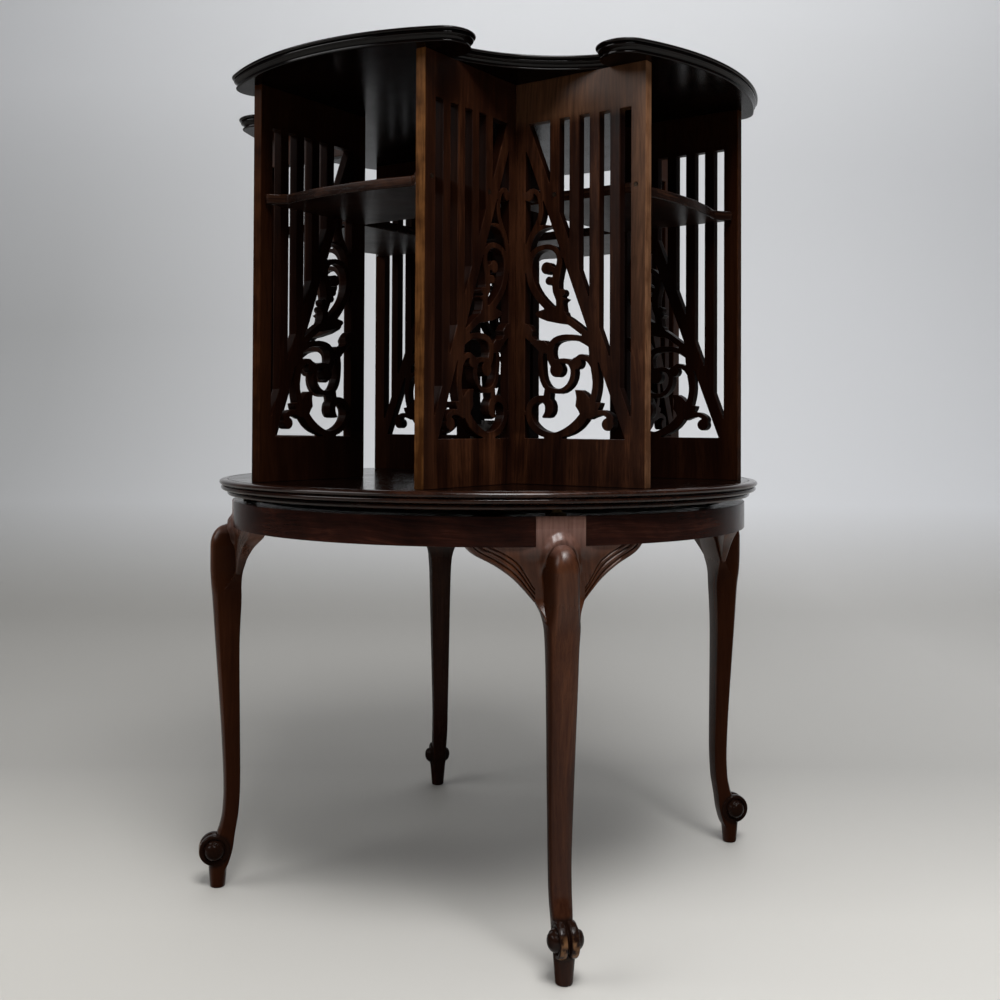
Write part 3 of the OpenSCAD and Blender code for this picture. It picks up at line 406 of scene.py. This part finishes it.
# The top board's underside: painted shade.
UNDER_SHADE_WOOD = wood("under_shaded_wood", UNDER_SHADE, "x", 0.2, boards=BOARD_W, shine=0.04)
APRON_WOOD = wood("apron_wood", APRON, "round", 0.19, shine=0.1)
LEG_WOODS = {side: leg_wood("leg_wood_" + side, RED, 0.16, 0.13) for side in SIDES if side != "back_left"}
# The back leg takes the darker copy of the leg tones: painted shade.
LEG_WOODS["back_left"] = leg_wood("leg_wood_back_shaded", RED_SHADED, 0.26, 0.05)
INNER_WOOD = wood("inner_wood", PLAIN, "x", 0.55)
DOWEL_WOOD = wood("dowel_wood", PALE, "z", 0.6)
NAIL = metal("nail", (0.07, 0.05, 0.035), (0.03, 0.02, 0.015), 0.5)
IRON = metal("iron", (0.20, 0.19, 0.18), (0.06, 0.045, 0.04), 0.42)
# Brass darkened past its tarnish: painted shade on the rollers in the gap under the disc.
SHADED_BRASS = metal("brass", (0.10, 0.066, 0.030), (0.025, 0.017, 0.010), 0.45)


def dress(node, material):
    """A CAD node keeps its shape and takes a material."""
    piece = nodes[node]
    if not piece.material_slots:
        piece.data.materials.append(material)
    for slot in piece.material_slots:
        slot.link = "OBJECT"
        slot.material = material


def shade(mesh, angle=SHARP_ANGLE):
    for face in mesh.polygons:
        face.use_smooth = True
    mesh.set_sharp_from_angle(angle=math.radians(angle))


def piece_from(name, points, faces, materials, body, replaces=()):
    """New piece from points in millimetres, riding on a body."""
    mesh = bpy.data.meshes.new(name)
    mesh.from_pydata([tuple(MM * c for c in p) for p in points], [], faces)
    for material in materials:
        mesh.materials.append(material)
    made = bpy.data.objects.new(name, mesh)
    scene.collection.objects.link(made)
    bm = bmesh.new()
    bm.from_mesh(mesh)
    bmesh.ops.remove_doubles(bm, verts=bm.verts, dist=1e-6)
    bmesh.ops.recalc_face_normals(bm, faces=bm.faces)
    bm.to_mesh(mesh)
    bm.free()
    shade(mesh)
    if body:
        settle(made, body, replaces)
    return made


def settle(made, body, replaces=()):
    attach(made, body)
    if replaces:
        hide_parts(*replaces)


def eased(node, body, width, materials, segments=2):
    """Stands for a CAD node, with the same shape and its sharp edges eased."""
    mesh = nodes[node].data.copy()
    mesh.name = node + "_eased"
    made = bpy.data.objects.new(node + "_eased", mesh)
    scene.collection.objects.link(made)
    bm = bmesh.new()
    bm.from_mesh(mesh)
    bmesh.ops.remove_doubles(bm, verts=bm.verts, dist=3e-6)
    bmesh.ops.dissolve_limit(bm, angle_limit=math.radians(FLAT_ANGLE), verts=bm.verts, edges=bm.edges)
    for face in bm.faces:
        face.material_index = 0
    sharp = []
    for edge in bm.edges:
        if len(edge.link_faces) == 2 and edge.calc_face_angle(0.0) > math.radians(EASE_ANGLE):
            sharp.append(edge)
    bmesh.ops.bevel(
        bm, geom=sharp, offset=width * MM, offset_type="OFFSET", segments=segments, profile=0.5,
        affect="EDGES", clamp_overlap=False, material=len(materials) - 1,
    )
    bm.to_mesh(mesh)
    bm.free()
    if "custom_normal" in mesh.attributes:
        mesh.attributes.remove(mesh.attributes["custom_normal"])
    mesh.materials.clear()
    for material in materials:
        mesh.materials.append(material)
    shade(mesh)
    flatten(made)
    settle(made, body, [node])
    return made


def flatten(made):
    """Large faces keep their own normal up to the eased edges."""
    change = made.modifiers.new("flat_faces", "WEIGHTED_NORMAL")
    change.keep_sharp = True
    change.weight = 100
    made.data = evaluated(made)
    made.modifiers.clear()


def evaluated(made):
    bpy.context.view_layer.update()
    graph = bpy.context.evaluated_depsgraph_get()
    return bpy.data.meshes.new_from_object(made.evaluated_get(graph))


def smooth_curve(points, steps):
    """Curve through rows of numbers, a few steps from each row to the next."""
    p = np.asarray(points, float)
    last = len(p) - 1
    rows = []
    for i in range(last):
        a, b, c, d = p[max(0, i - 1)], p[i], p[i + 1], p[min(last, i + 2)]
        for k in range(steps):
            t = k / steps
            rows.append(0.5 * (2 * b + (c - a) * t + (2 * a - 5 * b + 4 * c - d) * t ** 2
                               + (3 * b - a - 3 * c + d) * t ** 3))
    rows.append(p[last])
    return np.array(rows)


def step_up(low, high, value):
    t = min(1.0, max(0.0, (value - low) / (high - low)))
    return t * t * (3 - 2 * t)


def hump(value, middle, width):
    return math.exp(-((value - middle) / width) ** 2)


def turned(points, angle):
    """Points turned about the spindle."""
    c, s = math.cos(math.radians(angle)), math.sin(math.radians(angle))
    return [(c * x - s * y, s * x + c * y, z) for x, y, z in points]


def skin(rings, closed_ends=True):
    """Faces over rings of equal length, with both ends closed."""
    n = len(rings[0])
    points = [p for ring in rings for p in ring]
    faces = []
    for i in range(len(rings) - 1):
        for k in range(n):
            a, b = i * n + k, i * n + (k + 1) % n
            faces.append((a, b, b + n, a + n))
    if closed_ends:
        faces.append(tuple(range(n - 1, -1, -1)))
        faces.append(tuple(range((len(rings) - 1) * n, len(rings) * n)))
    return points, faces


def combined(base, other, operation):
    """Joins another mesh to a piece or cuts it out, and drops the other one."""
    change = base.modifiers.new("change", "BOOLEAN")
    change.operation = operation
    change.object = other
    change.solver = "EXACT"
    base.data = evaluated(base)
    base.modifiers.clear()
    bpy.data.objects.remove(other)
    return base


# Top board: one moulding swept round the lobed outline

HOLLOW_STEPS = 28
LOBE_STEPS = 26
BOW_STEPS = 44


def arc(centre, r, start, end, steps):
    angles = np.radians(np.linspace(start, end, steps + 1))
    return [(centre[0] + r * math.cos(a), centre[1] + r * math.sin(a)) for a in angles]


def top_outline(inset):
    end_r = LOBE_R - inset
    lobe = math.radians(LOBE_ANGLE)
    centre = ((TOP_R - LOBE_R) * math.cos(lobe), (TOP_R - LOBE_R) * math.sin(lobe))
    hollow_r = NOTCH_R + inset
    hollow_mid = (NOTCH_IN + NOTCH_R, 0.0)
    dx, dy = hollow_mid[0] - centre[0], hollow_mid[1] - centre[1]
    gap = math.hypot(dx, dy)
    reach = math.acos((gap ** 2 + end_r ** 2 - hollow_r ** 2) / (2 * gap * end_r))
    meet_angle = math.degrees(math.atan2(dy, dx) - reach)
    meet_y = centre[1] + end_r * math.sin(math.radians(meet_angle))
    half = math.degrees(math.asin(meet_y / hollow_r))
    quarter = arc(hollow_mid, hollow_r, 180 + half, 180 - half, HOLLOW_STEPS)
    round_end = arc(centre, end_r, meet_angle, LOBE_ANGLE, LOBE_STEPS)[1:]
    bow = arc((0.0, 0.0), TOP_R - inset, LOBE_ANGLE, 90 - LOBE_ANGLE, BOW_STEPS)[1:-1]
    far_end = [(y, x) for x, y in reversed(round_end)]
    outline = []
    for turn in (-45, 45, 135, 225):
        c, s = math.cos(math.radians(turn)), math.sin(math.radians(turn))
        outline += [(c * x - s * y, s * x + c * y) for x, y in quarter + round_end + bow + far_end]
    return outline


def bead(inset, low, high, depth, steps=6):
    """Half round of a moulding, from low to high, standing out by its depth."""
    rows = []
    for k in range(steps + 1):
        a = math.pi * (k / steps - 0.5)
        rows.append((inset - depth * math.cos(a), 0.5 * (low + high) + 0.5 * (high - low) * math.sin(a)))
    return rows


def make_top():
    profile = [(6.2, 0.0)]
    profile += bead(4.9, 0.0, 1.7, 1.0)
    profile += [(5.5, 1.9), (5.7, 2.8), (5.3, 3.9), (4.5, 4.9), (3.6, 5.6), (3.2, 5.8)]
    profile += bead(3.1, 6.0, 8.8, 1.2)
    profile += [(3.0, 9.0)]
    profile += bead(1.9, 9.2, 12.3, 1.9)
    profile += [(2.2, 12.6), (2.9, 12.9), (4.2, TOP_T), (7.2, TOP_T)]
    rings = [[(x, y, Z_TOP + z) for x, y in top_outline(inset)] for inset, z in profile]
    points, faces = skin(rings)
    woods = [RIM_WOOD, UNDER_SHADE_WOOD]
    top = piece_from("top_moulded", points, faces, woods, "case", ["top_board"])
    # The underside takes the near-black wood: painted shade under the top.
    for face in top.data.polygons:
        if face.normal.z < -0.9 and face.center.z < (Z_TOP + 0.5) * MM:
            face.material_index = 1


# Disc: a quirk on its top and three reeds round its rim, which draw in downwards

FLAT_IN = 18.0
QUIRK_IN = 9.0
DISC_STEPS = 288


def lathed(profile, steps):
    """Closed profile of radius and height turned about the spindle."""
    rings = []
    for r, z in profile + profile[:1]:
        angles = np.radians(np.linspace(0, 360, steps, endpoint=False))
        rings.append([(r * math.cos(a), r * math.sin(a), z) for a in angles])
    return skin(rings, closed_ends=False)


def make_disc():
    rim = [(FLAT_IN, 0.0), (12.4, 0.0)]
    rim += bead(9.8, 0.2, 4.6, 2.0)
    rim += [(10.2, 4.8), (7.6, 5.0), (5.0, 5.3)]
    rim += bead(4.2, 5.5, 10.1, 2.6)
    rim += [(4.2, 10.3)]
    rim += bead(3.6, 10.5, 15.7, 3.6)
    rim += [(4.6, DISC_T - 0.05), (7.6, DISC_T), (8.2, DISC_T - 1), (QUIRK_IN, DISC_T - 1), (9.6, DISC_T)]
    rim += [(FLAT_IN, DISC_T)]
    profile = [(FLANGE_R, FLANGE_T), (FLANGE_R, 0.0)]
    profile += [(DISC_R - inset, z) for inset, z in rim]
    profile += [(BUSH_R, DISC_T), (BUSH_R, FLANGE_T)]
    points, faces = lathed([(r, Z_DISC + z) for r, z in profile], DISC_STEPS)
    woods = [BOARD_WOOD, DISC_TOP_SHADE_WOOD]
    disc = piece_from("disc_moulded", points, faces, woods, "case", ["base_disc"])
    # The disc's flat top takes the near-black wood: painted shade.
    for face in disc.data.polygons:
        if face.normal.z > 0.9 and Vector(face.center[:2]).length < (DISC_R - QUIRK_IN) * MM:
            face.material_index = 1


# Legs: one shaft from block to peg, with a scroll at the foot

# Height, front, back and half width of the leg
LEG_ROWS = [
    (387.5, 288.2, 232.0, 22.0),
    (376.0, 288.2, 232.5, 22.0),
    (366.0, 288.2, 235.5, 22.0),
    (356.0, 288.2, 240.5, 22.0),
    (346.0, 288.2, 246.5, 22.0),
    (338.0, 288.2, 250.5, 22.0),
    (328.0, 288.2, 253.0, 22.0),
    (316.0, 288.0, 256.5, 21.8),
    (303.0, 287.2, 257.5, 16.2),
    (285.0, 285.6, 257.3, 12.9),
    (240.0, 282.4, 258.8, 11.8),
    (158.0, 276.4, 257.8, 10.3),
    (104.0, 273.8, 257.2, 9.2),
    (76.0, 274.6, 258.6, 9.0),
    (62.0, 277.2, 260.6, 8.8),
    (52.0, 280.4, 262.2, 8.3),
    (37.5, 283.0, 264.1, 7.6),
    (24.0, 286.0, 268.0, 7.6),
    (18.0, 285.0, 271.0, 7.0),
]
LEG_COLUMNS = 73
BACK_EASE = 1.2
# Heights over which the shaft turns into the knee, its back spreads, and the crease and the roll grow
SHAFT_TO_KNEE = (284, 318)
BACK_SPREAD = (296, 320)
CREASE_GROWS = (322, 340)
ROLL_GROWS = (336, 350)
CREASE_DEPTH = 0.8
TOP_ARRIS = 0.6
# How far below the apron, and along it, knee and ears come flush with it
FLUSH_DOWN = 12
FLUSH_ALONG = 16
KNEE_HALF = 14.4
KNEE_Z = 341.0
KNEE_TOP = 363.0
ROLL_OUT = 5.2
ROLL_HALF = 20.5
ROLL_TOP = 376.0
ROLL_Z = 346.0


def arch(y, z, half, spring, top):
    """How far out a place lies in an arch: 1 on its line."""
    return math.hypot(y / half, max(0.0, z - spring) / (top - spring))


def leg_front(y, z, front, back, half):
    """Front of a leg at a height: flush with the apron, then an arched roll and a crease round the knee,
    then a bowed face between two arrises."""
    share = step_up(*SHAFT_TO_KNEE, z)
    u = min(1.0, abs(y) / half)
    arris = front - 0.2 * (front - back) * u ** 2.2 - 0.6 * max(0.0, (u - 0.92) / 0.08) ** 2
    if share == 0:
        return arris
    face_r = EAR_R + (APRON_R - EAR_R) * step_up(Z_APRON - FLUSH_DOWN, Z_APRON, z)
    face = math.sqrt(face_r ** 2 - y * y)
    upper = step_up(*ROLL_GROWS, z)
    roll = ROLL_OUT * upper * (1 - step_up(0.66, 1.0, arch(y, z, ROLL_HALF, ROLL_Z, ROLL_TOP)))
    climb = min(1.0, max(0.0, (z - KNEE_Z) / (KNEE_TOP - KNEE_Z))) ** 0.6
    out = ((abs(y) / KNEE_HALF) ** 2.5 + climb ** 2.5) ** 0.4
    crease = CREASE_DEPTH * step_up(*CREASE_GROWS, z) * hump(out, 1.03, 0.05)
    rise = max(0.0, 1 - out ** 4) ** 0.55
    knee = face + roll - crease + (front - face_r - ROLL_OUT * upper) * rise
    knee -= TOP_ARRIS * step_up(Z_STAND - 0.8, Z_STAND, z)
    return arris + (knee - arris) * share


def leg_ring(row):
    z, front, back, half = row
    half = min(half, BLOCK_HALF)
    ring = []
    for y in np.linspace(-half, half, LEG_COLUMNS):
        ring.append((leg_front(y, z, front, back, half), y, z))
    half_back = 0.97 * half + 0.03 * half * step_up(*BACK_SPREAD, z)
    corner = []
    for a in np.linspace(0, 90, 5):
        c, s = math.cos(math.radians(a)), math.sin(math.radians(a))
        corner.append((back + BACK_EASE - BACK_EASE * s, half_back - BACK_EASE + BACK_EASE * c, z))
    return ring + corner + [(x, -y, z) for x, y, z in reversed(corner)]


# Half section of the scroll from the eye's crown to the groove between its bands: radius, then half width
SCROLL_ROWS = [
    (0.0, 15.7), (3.0, 15.4), (5.5, 14.5), (7.5, 13.0), (8.9, 11.2), (9.7, 9.2), (10.1, 7.9),
    (10.5, 7.4), (11.0, 7.9), (11.8, 8.6), (13.0, 8.75), (14.2, 8.4), (14.9, 7.6), (15.2, 6.2),
    (15.2, 4.0), (15.0, 2.6), (14.0, 1.5), (12.4, 0.7), (11.8, 0.0),
]
SCROLL_STEPS = 96
WHORL_START = 20
WHORL_TURN = 170
WHORL_R = 10.2
WHORL_IN = 5.4
WHORL_W = 0.8
WHORL_DEPTH = 1.3
# Outline of the peg: radius, then height
PEG_ROWS = [(6.6, 0.0), (7.3, 0.6), (7.5, 1.6), (8.4, 12.0), (9.4, 24.0), (9.6, 27.0), (8.0, 31.0)]
PEG_STEPS = 48


def whorl_cut(r, angle):
    """Depth of the carved line that winds from the eye's rim over its top and in towards the back."""
    along = (angle - WHORL_START) / WHORL_TURN
    if along < 0 or along > 1:
        return 0.0
    depth = WHORL_DEPTH * hump(r, WHORL_R - WHORL_IN * along, WHORL_W)
    return depth * step_up(0.0, 0.12, along) * (1 - step_up(0.82, 1.0, along))


def scroll_points():
    """Scroll at the foot: two bands with a groove between, and a domed eye with a whorl on each side."""
    rows = smooth_curve(SCROLL_ROWS, 4)
    rows = np.vstack([rows, [(r, -y) for r, y in rows[-2::-1]]])
    centre_x = APRON_R + SCROLL_OUT
    rings = []
    for r, y in rows[1:-1]:
        ring = []
        for k in range(SCROLL_STEPS):
            angle = 360 * k / SCROLL_STEPS
            a = math.radians(angle)
            cut = whorl_cut(r, angle) if abs(y) > SCROLL_HALF else 0.0
            side = y - math.copysign(cut, y)
            ring.append((centre_x + r * math.cos(a), side, SCROLL_UP + r * math.sin(a)))
        rings.append(ring)
    return skin(rings)


def peg_points():
    rings = []
    centre_x = APRON_R + PEG_OUT
    for r, z in PEG_ROWS:
        ring = []
        for k in range(PEG_STEPS):
            a = 2 * math.pi * k / PEG_STEPS
            ring.append((centre_x + r * math.cos(a), r * math.sin(a), z))
        rings.append(ring)
    return skin(rings)


def box_points(low, high):
    corners = [(x, y, z) for z in (low[2], high[2]) for x, y in
               ((low[0], low[1]), (high[0], low[1]), (high[0], high[1]), (low[0], high[1]))]
    return skin([corners[:4], corners[4:]])


def make_leg(side, turn):
    rings = [leg_ring(row) for row in smooth_curve(LEG_ROWS, 12)]
    shapes = [skin(rings), scroll_points(), peg_points()]
    woods = [LEG_WOODS[side]]
    leg = None
    for points, faces in shapes:
        part = piece_from("leg_" + side + "_carved", turned(points, turn), faces, woods, None)
        leg = part if leg is None else combined(leg, part, "UNION")
    low = (ROLLER_TRACK - POCKET_L / 2, -POCKET_W / 2, POCKET_FLOOR)
    high = (ROLLER_TRACK + POCKET_L / 2, POCKET_W / 2, Z_STAND + 2.5)
    points, faces = box_points(low, high)
    cutter = piece_from("pocket", turned(points, turn), faces, woods, None)
    leg = combined(leg, cutter, "DIFFERENCE")
    shade(leg.data, LEG_SHARP_ANGLE)
    settle(leg, "stand", ["leg_" + side])


# Lower edge of an ear from its tip to the knee, in shares of its reach and drop
EAR_EDGE = [(1.0, 0.0), (0.865, 0.16), (0.56, 0.36), (0.31, 0.58), (0.13, 0.81), (0.0, 1.0)]
EAR_COLUMNS = 60
# Rows of points inwards from the edge: first, last and how many, in the carving and past it
EAR_FINE = (0.0, 14.0, 57)
EAR_COARSE = (16.0, 24.0, 5)


def ear_line(edge, inwards):
    """The ear's lower edge moved in by a distance and cut off at the apron and at the leg."""
    run = np.gradient(edge, axis=0)
    run /= np.linalg.norm(run, axis=1)[:, None]
    moved = edge + inwards * np.column_stack([run[:, 1], -run[:, 0]])
    line = []
    for a, b in zip(moved, moved[1:]):
        if a[1] > Z_APRON >= b[1]:
            line = [a + (b - a) * (a[1] - Z_APRON) / (a[1] - b[1])]
        if a[1] <= Z_APRON and not line:
            line = [a]
        if line and b[0] <= BLOCK_HALF:
            line.append(a + (b - a) * (a[0] - BLOCK_HALF) / (a[0] - b[0]))
            break
        if line:
            line.append(b)
    line = np.array(line)
    walk = np.concatenate([[0.0], np.cumsum(np.linalg.norm(np.diff(line, axis=0), axis=1))])
    at = np.linspace(0.0, walk[-1], EAR_COLUMNS)
    return np.column_stack([np.interp(at, walk, line[:, 0]), np.interp(at, walk, line[:, 1])])


# The lip and the two reeds: where each begins and ends inwards from the edge
EAR_REEDS = [(0.0, 3.6), (3.6, 8.4), (8.4, 12.4)]
REED_DEPTH = 2.9
EAR_ARRIS = 1.4
EAR_ARRIS_W = 0.9


def ear_cut(inwards, towards_tip):
    """Depth of the carving: a lip and two reeds along the lower edge, which draw together towards the
    leg. The lip runs out to the edge on its way to the tip."""
    taper = 0.55 + 0.45 * step_up(0.0, 0.5, towards_tip)
    place = inwards / taper
    plain = step_up(0.62, 0.72, towards_tip)
    cut = EAR_ARRIS * (1 - min(1.0, inwards / EAR_ARRIS_W)) ** 2
    for number, (low, high) in enumerate(EAR_REEDS):
        if low <= place < high:
            across = abs(2 * (place - low) / (high - low) - 1)
            reed = REED_DEPTH * (1 - math.sqrt(max(0.0, 1 - across ** 2)))
            if number == 0:
                return cut + reed * (1 - plain) * step_up(0.0, 0.4, place / high)
            return cut + reed + 0.3
    return 1.2 * (1 - step_up(0.0, 1.2, place - EAR_REEDS[-1][1]))


def make_ears(side, turn):
    """Two shaped ears beside a knee, each with carved reeds along its lower edge."""
    edge = smooth_curve(EAR_EDGE, 16) * (EAR_REACH, -EAR_DROP) + (BLOCK_HALF, Z_APRON)
    depths = np.concatenate([np.linspace(*EAR_FINE), np.linspace(*EAR_COARSE)])
    points = []
    faces = []
    for hand in (1, -1):
        start = len(points)
        for back in (False, True):
            for inwards in depths:
                for k, (y, z) in enumerate(ear_line(edge, inwards)):
                    up = 1 - (Z_APRON - z) / EAR_DROP
                    thick = EAR_FOOT_T + (EAR_T - EAR_FOOT_T) * up
                    flush = step_up(Z_APRON - FLUSH_DOWN, Z_APRON, z)
                    flush *= 1 - step_up(0, FLUSH_ALONG, y - BLOCK_HALF)
                    r = EAR_R - (thick if back else ear_cut(inwards, 1 - k / (EAR_COLUMNS - 1)))
                    r += 0.0 if back else (APRON_R - EAR_R) * flush
                    points.append((math.sqrt(r * r - y * y), hand * y, z))
            r = EAR_R - EAR_T if back else APRON_R
            points.append((math.sqrt(r * r - BLOCK_HALF ** 2), hand * BLOCK_HALF, Z_APRON))
        rows = len(depths)
        corner = rows * EAR_COLUMNS
        n = corner + 1
        sheet = []
        for row in range(rows - 1):
            for k in range(EAR_COLUMNS - 1):
                a = row * EAR_COLUMNS + k
                sheet.append((a, a + 1, a + 1 + EAR_COLUMNS, a + EAR_COLUMNS))
        last = (rows - 1) * EAR_COLUMNS
        for k in range(EAR_COLUMNS - 1):
            sheet.append((last + k, last + k + 1, corner))
        rim = list(range(EAR_COLUMNS))
        rim += [row * EAR_COLUMNS + EAR_COLUMNS - 1 for row in range(1, rows)]
        rim += [corner]
        rim += [row * EAR_COLUMNS for row in range(rows - 1, 0, -1)]
        for face in sheet:
            faces.append(tuple(start + i for i in face))
            faces.append(tuple(start + n + i for i in reversed(face)))
        for a, b in zip(rim, rim[1:] + rim[:1]):
            faces.append((start + a, start + a + n, start + b + n, start + b))
    woods = [LEG_WOODS[side]]
    name = "ears_" + side
    piece_from(name + "_carved", turned(points, turn), faces, woods, "stand", [name])


# Dressing of every node

APRON_EASE = 0.5
SHELF_EASE = 1.4
PANEL_EASE = 0.65

make_top()
make_disc()
for side, turn in zip(SIDES, LEG_TURNS):
    make_leg(side, turn)
    make_ears(side, turn)
for name in ("right", "back", "left", "front"):
    eased("apron_" + name, "stand", APRON_EASE, [APRON_WOOD])
SHELF_WOODS = {"front": SHELF_WOOD_X, "right": SHELF_WOOD_Y, "back": SHELF_WOOD_X, "left": SHELF_WOOD_Y}
for name, plank in SHELF_WOODS.items():
    shelf = eased("shelf_" + name, "case", SHELF_EASE, [plank, SHELF_EDGE], segments=3)
    for face in shelf.data.polygons:
        face.material_index = 1 if abs(face.normal.z) < 0.8 else 0
PANEL_WEAR = {"front_left": 0, "front_right": 1, "right_front": 2, "right_back": 0,
              "back_right": 0, "back_left": 1, "left_back": 0, "left_front": 1}
for name, wear in PANEL_WEAR.items():
    woods = [PANEL_WOODS[wear], PANEL_EDGE_HIGHLIGHTS[wear]]
    eased("panel_" + name, "case", PANEL_EASE, woods)

for name in ("cross_rail_lower", "cross_rail_upper", "stand_board", "hub_block"):
    dress(name, INNER_WOOD)
for name in ("panel_foot_dowels", "panel_top_dowels"):
    dress(name, DOWEL_WOOD)
for name in ("pivot_plate", "pivot_plate_screws", "spindle", "upper_washer", "upper_nut", "lower_washer",
             "lower_nut", "hub_screws"):
    dress(name, IRON)
dress("shelf_nails", NAIL)
for name in ["thrust_ring", "lower_bush", "upper_bush", "roller_housings", "roller_pins"]:
    dress(name, SHADED_BRASS)
for side in SIDES:
    dress("roller_" + side, SHADED_BRASS)


# Stage, light and camera

VIEW_TURN = 35.43
# Sheet under and behind the object, in metres
STAGE_NEAR = -4.0
STAGE_FLAT = 1.6
STAGE_HALF = 5.0
SWEEP_R = 1.4
SWEEP_STEPS = 12
WALL_TOP = 4.5
# Darker and lighter tone of each region of the sheet; the regions paint the fall of the light, darker far
# back and to the left on the floor, with painted shade on the lower left of the wall
PAPER_PAINTED_LIGHT = {
    "near_left": ((0.44, 0.427, 0.398), (0.48, 0.467, 0.438)),
    "near_right": ((0.52, 0.508, 0.48), (0.57, 0.558, 0.53)),
    "far_left": ((0.27, 0.263, 0.248), (0.30, 0.293, 0.278)),
    "far_right": ((0.41, 0.403, 0.388), (0.44, 0.433, 0.418)),
    "wall": ((0.61, 0.62, 0.64), (0.65, 0.66, 0.68)),
    "wall_left_shade": ((0.42, 0.425, 0.43), (0.45, 0.455, 0.46)),
}
PAPER_STOP = 0.11
WORLD_TONE = (0.80, 0.82, 0.85, 1.0)
WORLD_LEVEL = 0.07
SENSOR_W = 36.0
LENS = 42.35
SHIFT_UP = -0.093
CAMERA_PLACE = (0.0, -1.2567, 0.4657)
YAW = -0.0092
PITCH = 0.0141
ROLL = 0.0043


def aimed(x, y, z):
    """Place given as seen by the camera: right, away and up, in metres."""
    turn = Matrix.Rotation(math.radians(VIEW_TURN), 3, "Z")
    return turn @ Vector((x, y, z))


def make_stage():
    g = Graph("studio_paper")
    speckle = g.noise(g.place(), 900.0, 2.0)
    cloud = g.noise(g.place(), 1.2, 2.0)
    mixed = g.math("ADD", g.math("MULTIPLY", speckle, 0.05), g.math("MULTIPLY", cloud, 0.06))
    tones = {}
    for region, (dark, light) in PAPER_PAINTED_LIGHT.items():
        tones[region] = g.ramp(mixed, [(0.0, dark), (PAPER_STOP, light)])
    place = g.place()
    right = g.along(place, aimed(1.0, 0.0, 0.0))
    away = g.along(place, aimed(0.0, 1.0, 0.0))
    up = g.parts(place)[2]
    # Painted light and shade: the floor darker far back and to the left, the wall darker on its lower
    # left.
    near_tone = g.mix(g.span(right, -0.5, 0.2), tones["near_left"], tones["near_right"])
    far_tone = g.mix(g.span(right, 0.1, 0.9), tones["far_left"], tones["far_right"])
    floor_tone = g.mix(g.span(away, -0.15, 0.35), near_tone, far_tone)
    wall_left_shade = g.math("MULTIPLY", g.span(right, 0.0, -1.5), g.span(up, 1.7, 0.8))
    back_tone = g.mix(wall_left_shade, tones["wall"], tones["wall_left_shade"])
    g.set(Base_Color=g.mix(g.span(up, 0.0, 0.22), floor_tone, back_tone))
    g.set(Roughness=0.6, Specular_IOR_Level=0.2)
    rows = [(STAGE_NEAR, 0.0), (STAGE_FLAT, 0.0)]
    for k in range(1, SWEEP_STEPS + 1):
        a = math.radians(90 * k / SWEEP_STEPS)
        rows.append((STAGE_FLAT + SWEEP_R * math.sin(a), SWEEP_R - SWEEP_R * math.cos(a)))
    rows.append((STAGE_FLAT + SWEEP_R, WALL_TOP))
    points = []
    faces = []
    for away, up in rows:
        for right in (-STAGE_HALF, STAGE_HALF):
            points.append(tuple(aimed(right, away, up) / MM))
    for i in range(len(rows) - 1):
        faces.append((2 * i, 2 * i + 1, 2 * i + 3, 2 * i + 2))
    floor = piece_from("studio_floor", points, faces, [g.material], None)


def make_light(name, place, target, size, power):
    data = bpy.data.lights.new(name, "AREA")
    data.shape = "RECTANGLE"
    data.size, data.size_y = size
    data.energy = power
    lamp = bpy.data.objects.new(name, data)
    scene.collection.objects.link(lamp)
    lamp.location = aimed(*place)
    lamp.rotation_mode = "QUATERNION"
    lamp.rotation_quaternion = (aimed(*target) - lamp.location).to_track_quat("-Z", "Y")


def make_world():
    world = bpy.data.worlds.new("studio")
    scene.world = world
    world.use_nodes = True
    ground = world.node_tree.nodes["Background"]
    ground.inputs["Color"].default_value = WORLD_TONE
    ground.inputs["Strength"].default_value = WORLD_LEVEL


def make_camera():
    data = bpy.data.cameras.new("photo_camera")
    data.sensor_width = SENSOR_W
    data.lens = LENS
    data.shift_y = SHIFT_UP
    data.clip_start = 0.05
    data.clip_end = 60.0
    camera = bpy.data.objects.new("photo_camera", data)
    scene.collection.objects.link(camera)
    right = Vector((math.cos(YAW), math.sin(YAW), 0.0))
    ahead = Vector((-math.sin(YAW), math.cos(YAW), 0.0))
    up = Vector((0.0, 0.0, 1.0))
    look = ahead * math.cos(PITCH) + up * math.sin(PITCH)
    rise = up * math.cos(PITCH) - ahead * math.sin(PITCH)
    side = right * math.cos(ROLL) + rise * math.sin(ROLL)
    head = rise * math.cos(ROLL) - right * math.sin(ROLL)
    axes = Matrix((side, head, -look)).transposed()
    turn = Matrix.Rotation(math.radians(VIEW_TURN), 3, "Z")
    place = Matrix.Translation(aimed(*CAMERA_PLACE))
    camera.matrix_world = place @ (turn @ axes).to_4x4()
    scene.camera = camera


make_stage()
make_world()
make_light("key_light", (0.4, -1.6, 3.1), (0.0, 0.0, 0.4), (1.2, 1.2), 98.0)
make_light("left_light", (-2.2, -0.8, 1.9), (0.0, 0.0, 0.6), (1.6, 1.1), 26.0)
make_light("over_light", (0.4, -0.2, 3.4), (0.1, -0.2, 0.0), (2.0, 2.0), 38.0)
make_light("wall_light", (0.6, 1.7, 3.3), (0.5, 3.0, 1.6), (3.6, 0.6), 34.0)
make_camera()
scene.view_settings.view_transform = "Standard"

bpy.context.view_layer.update()
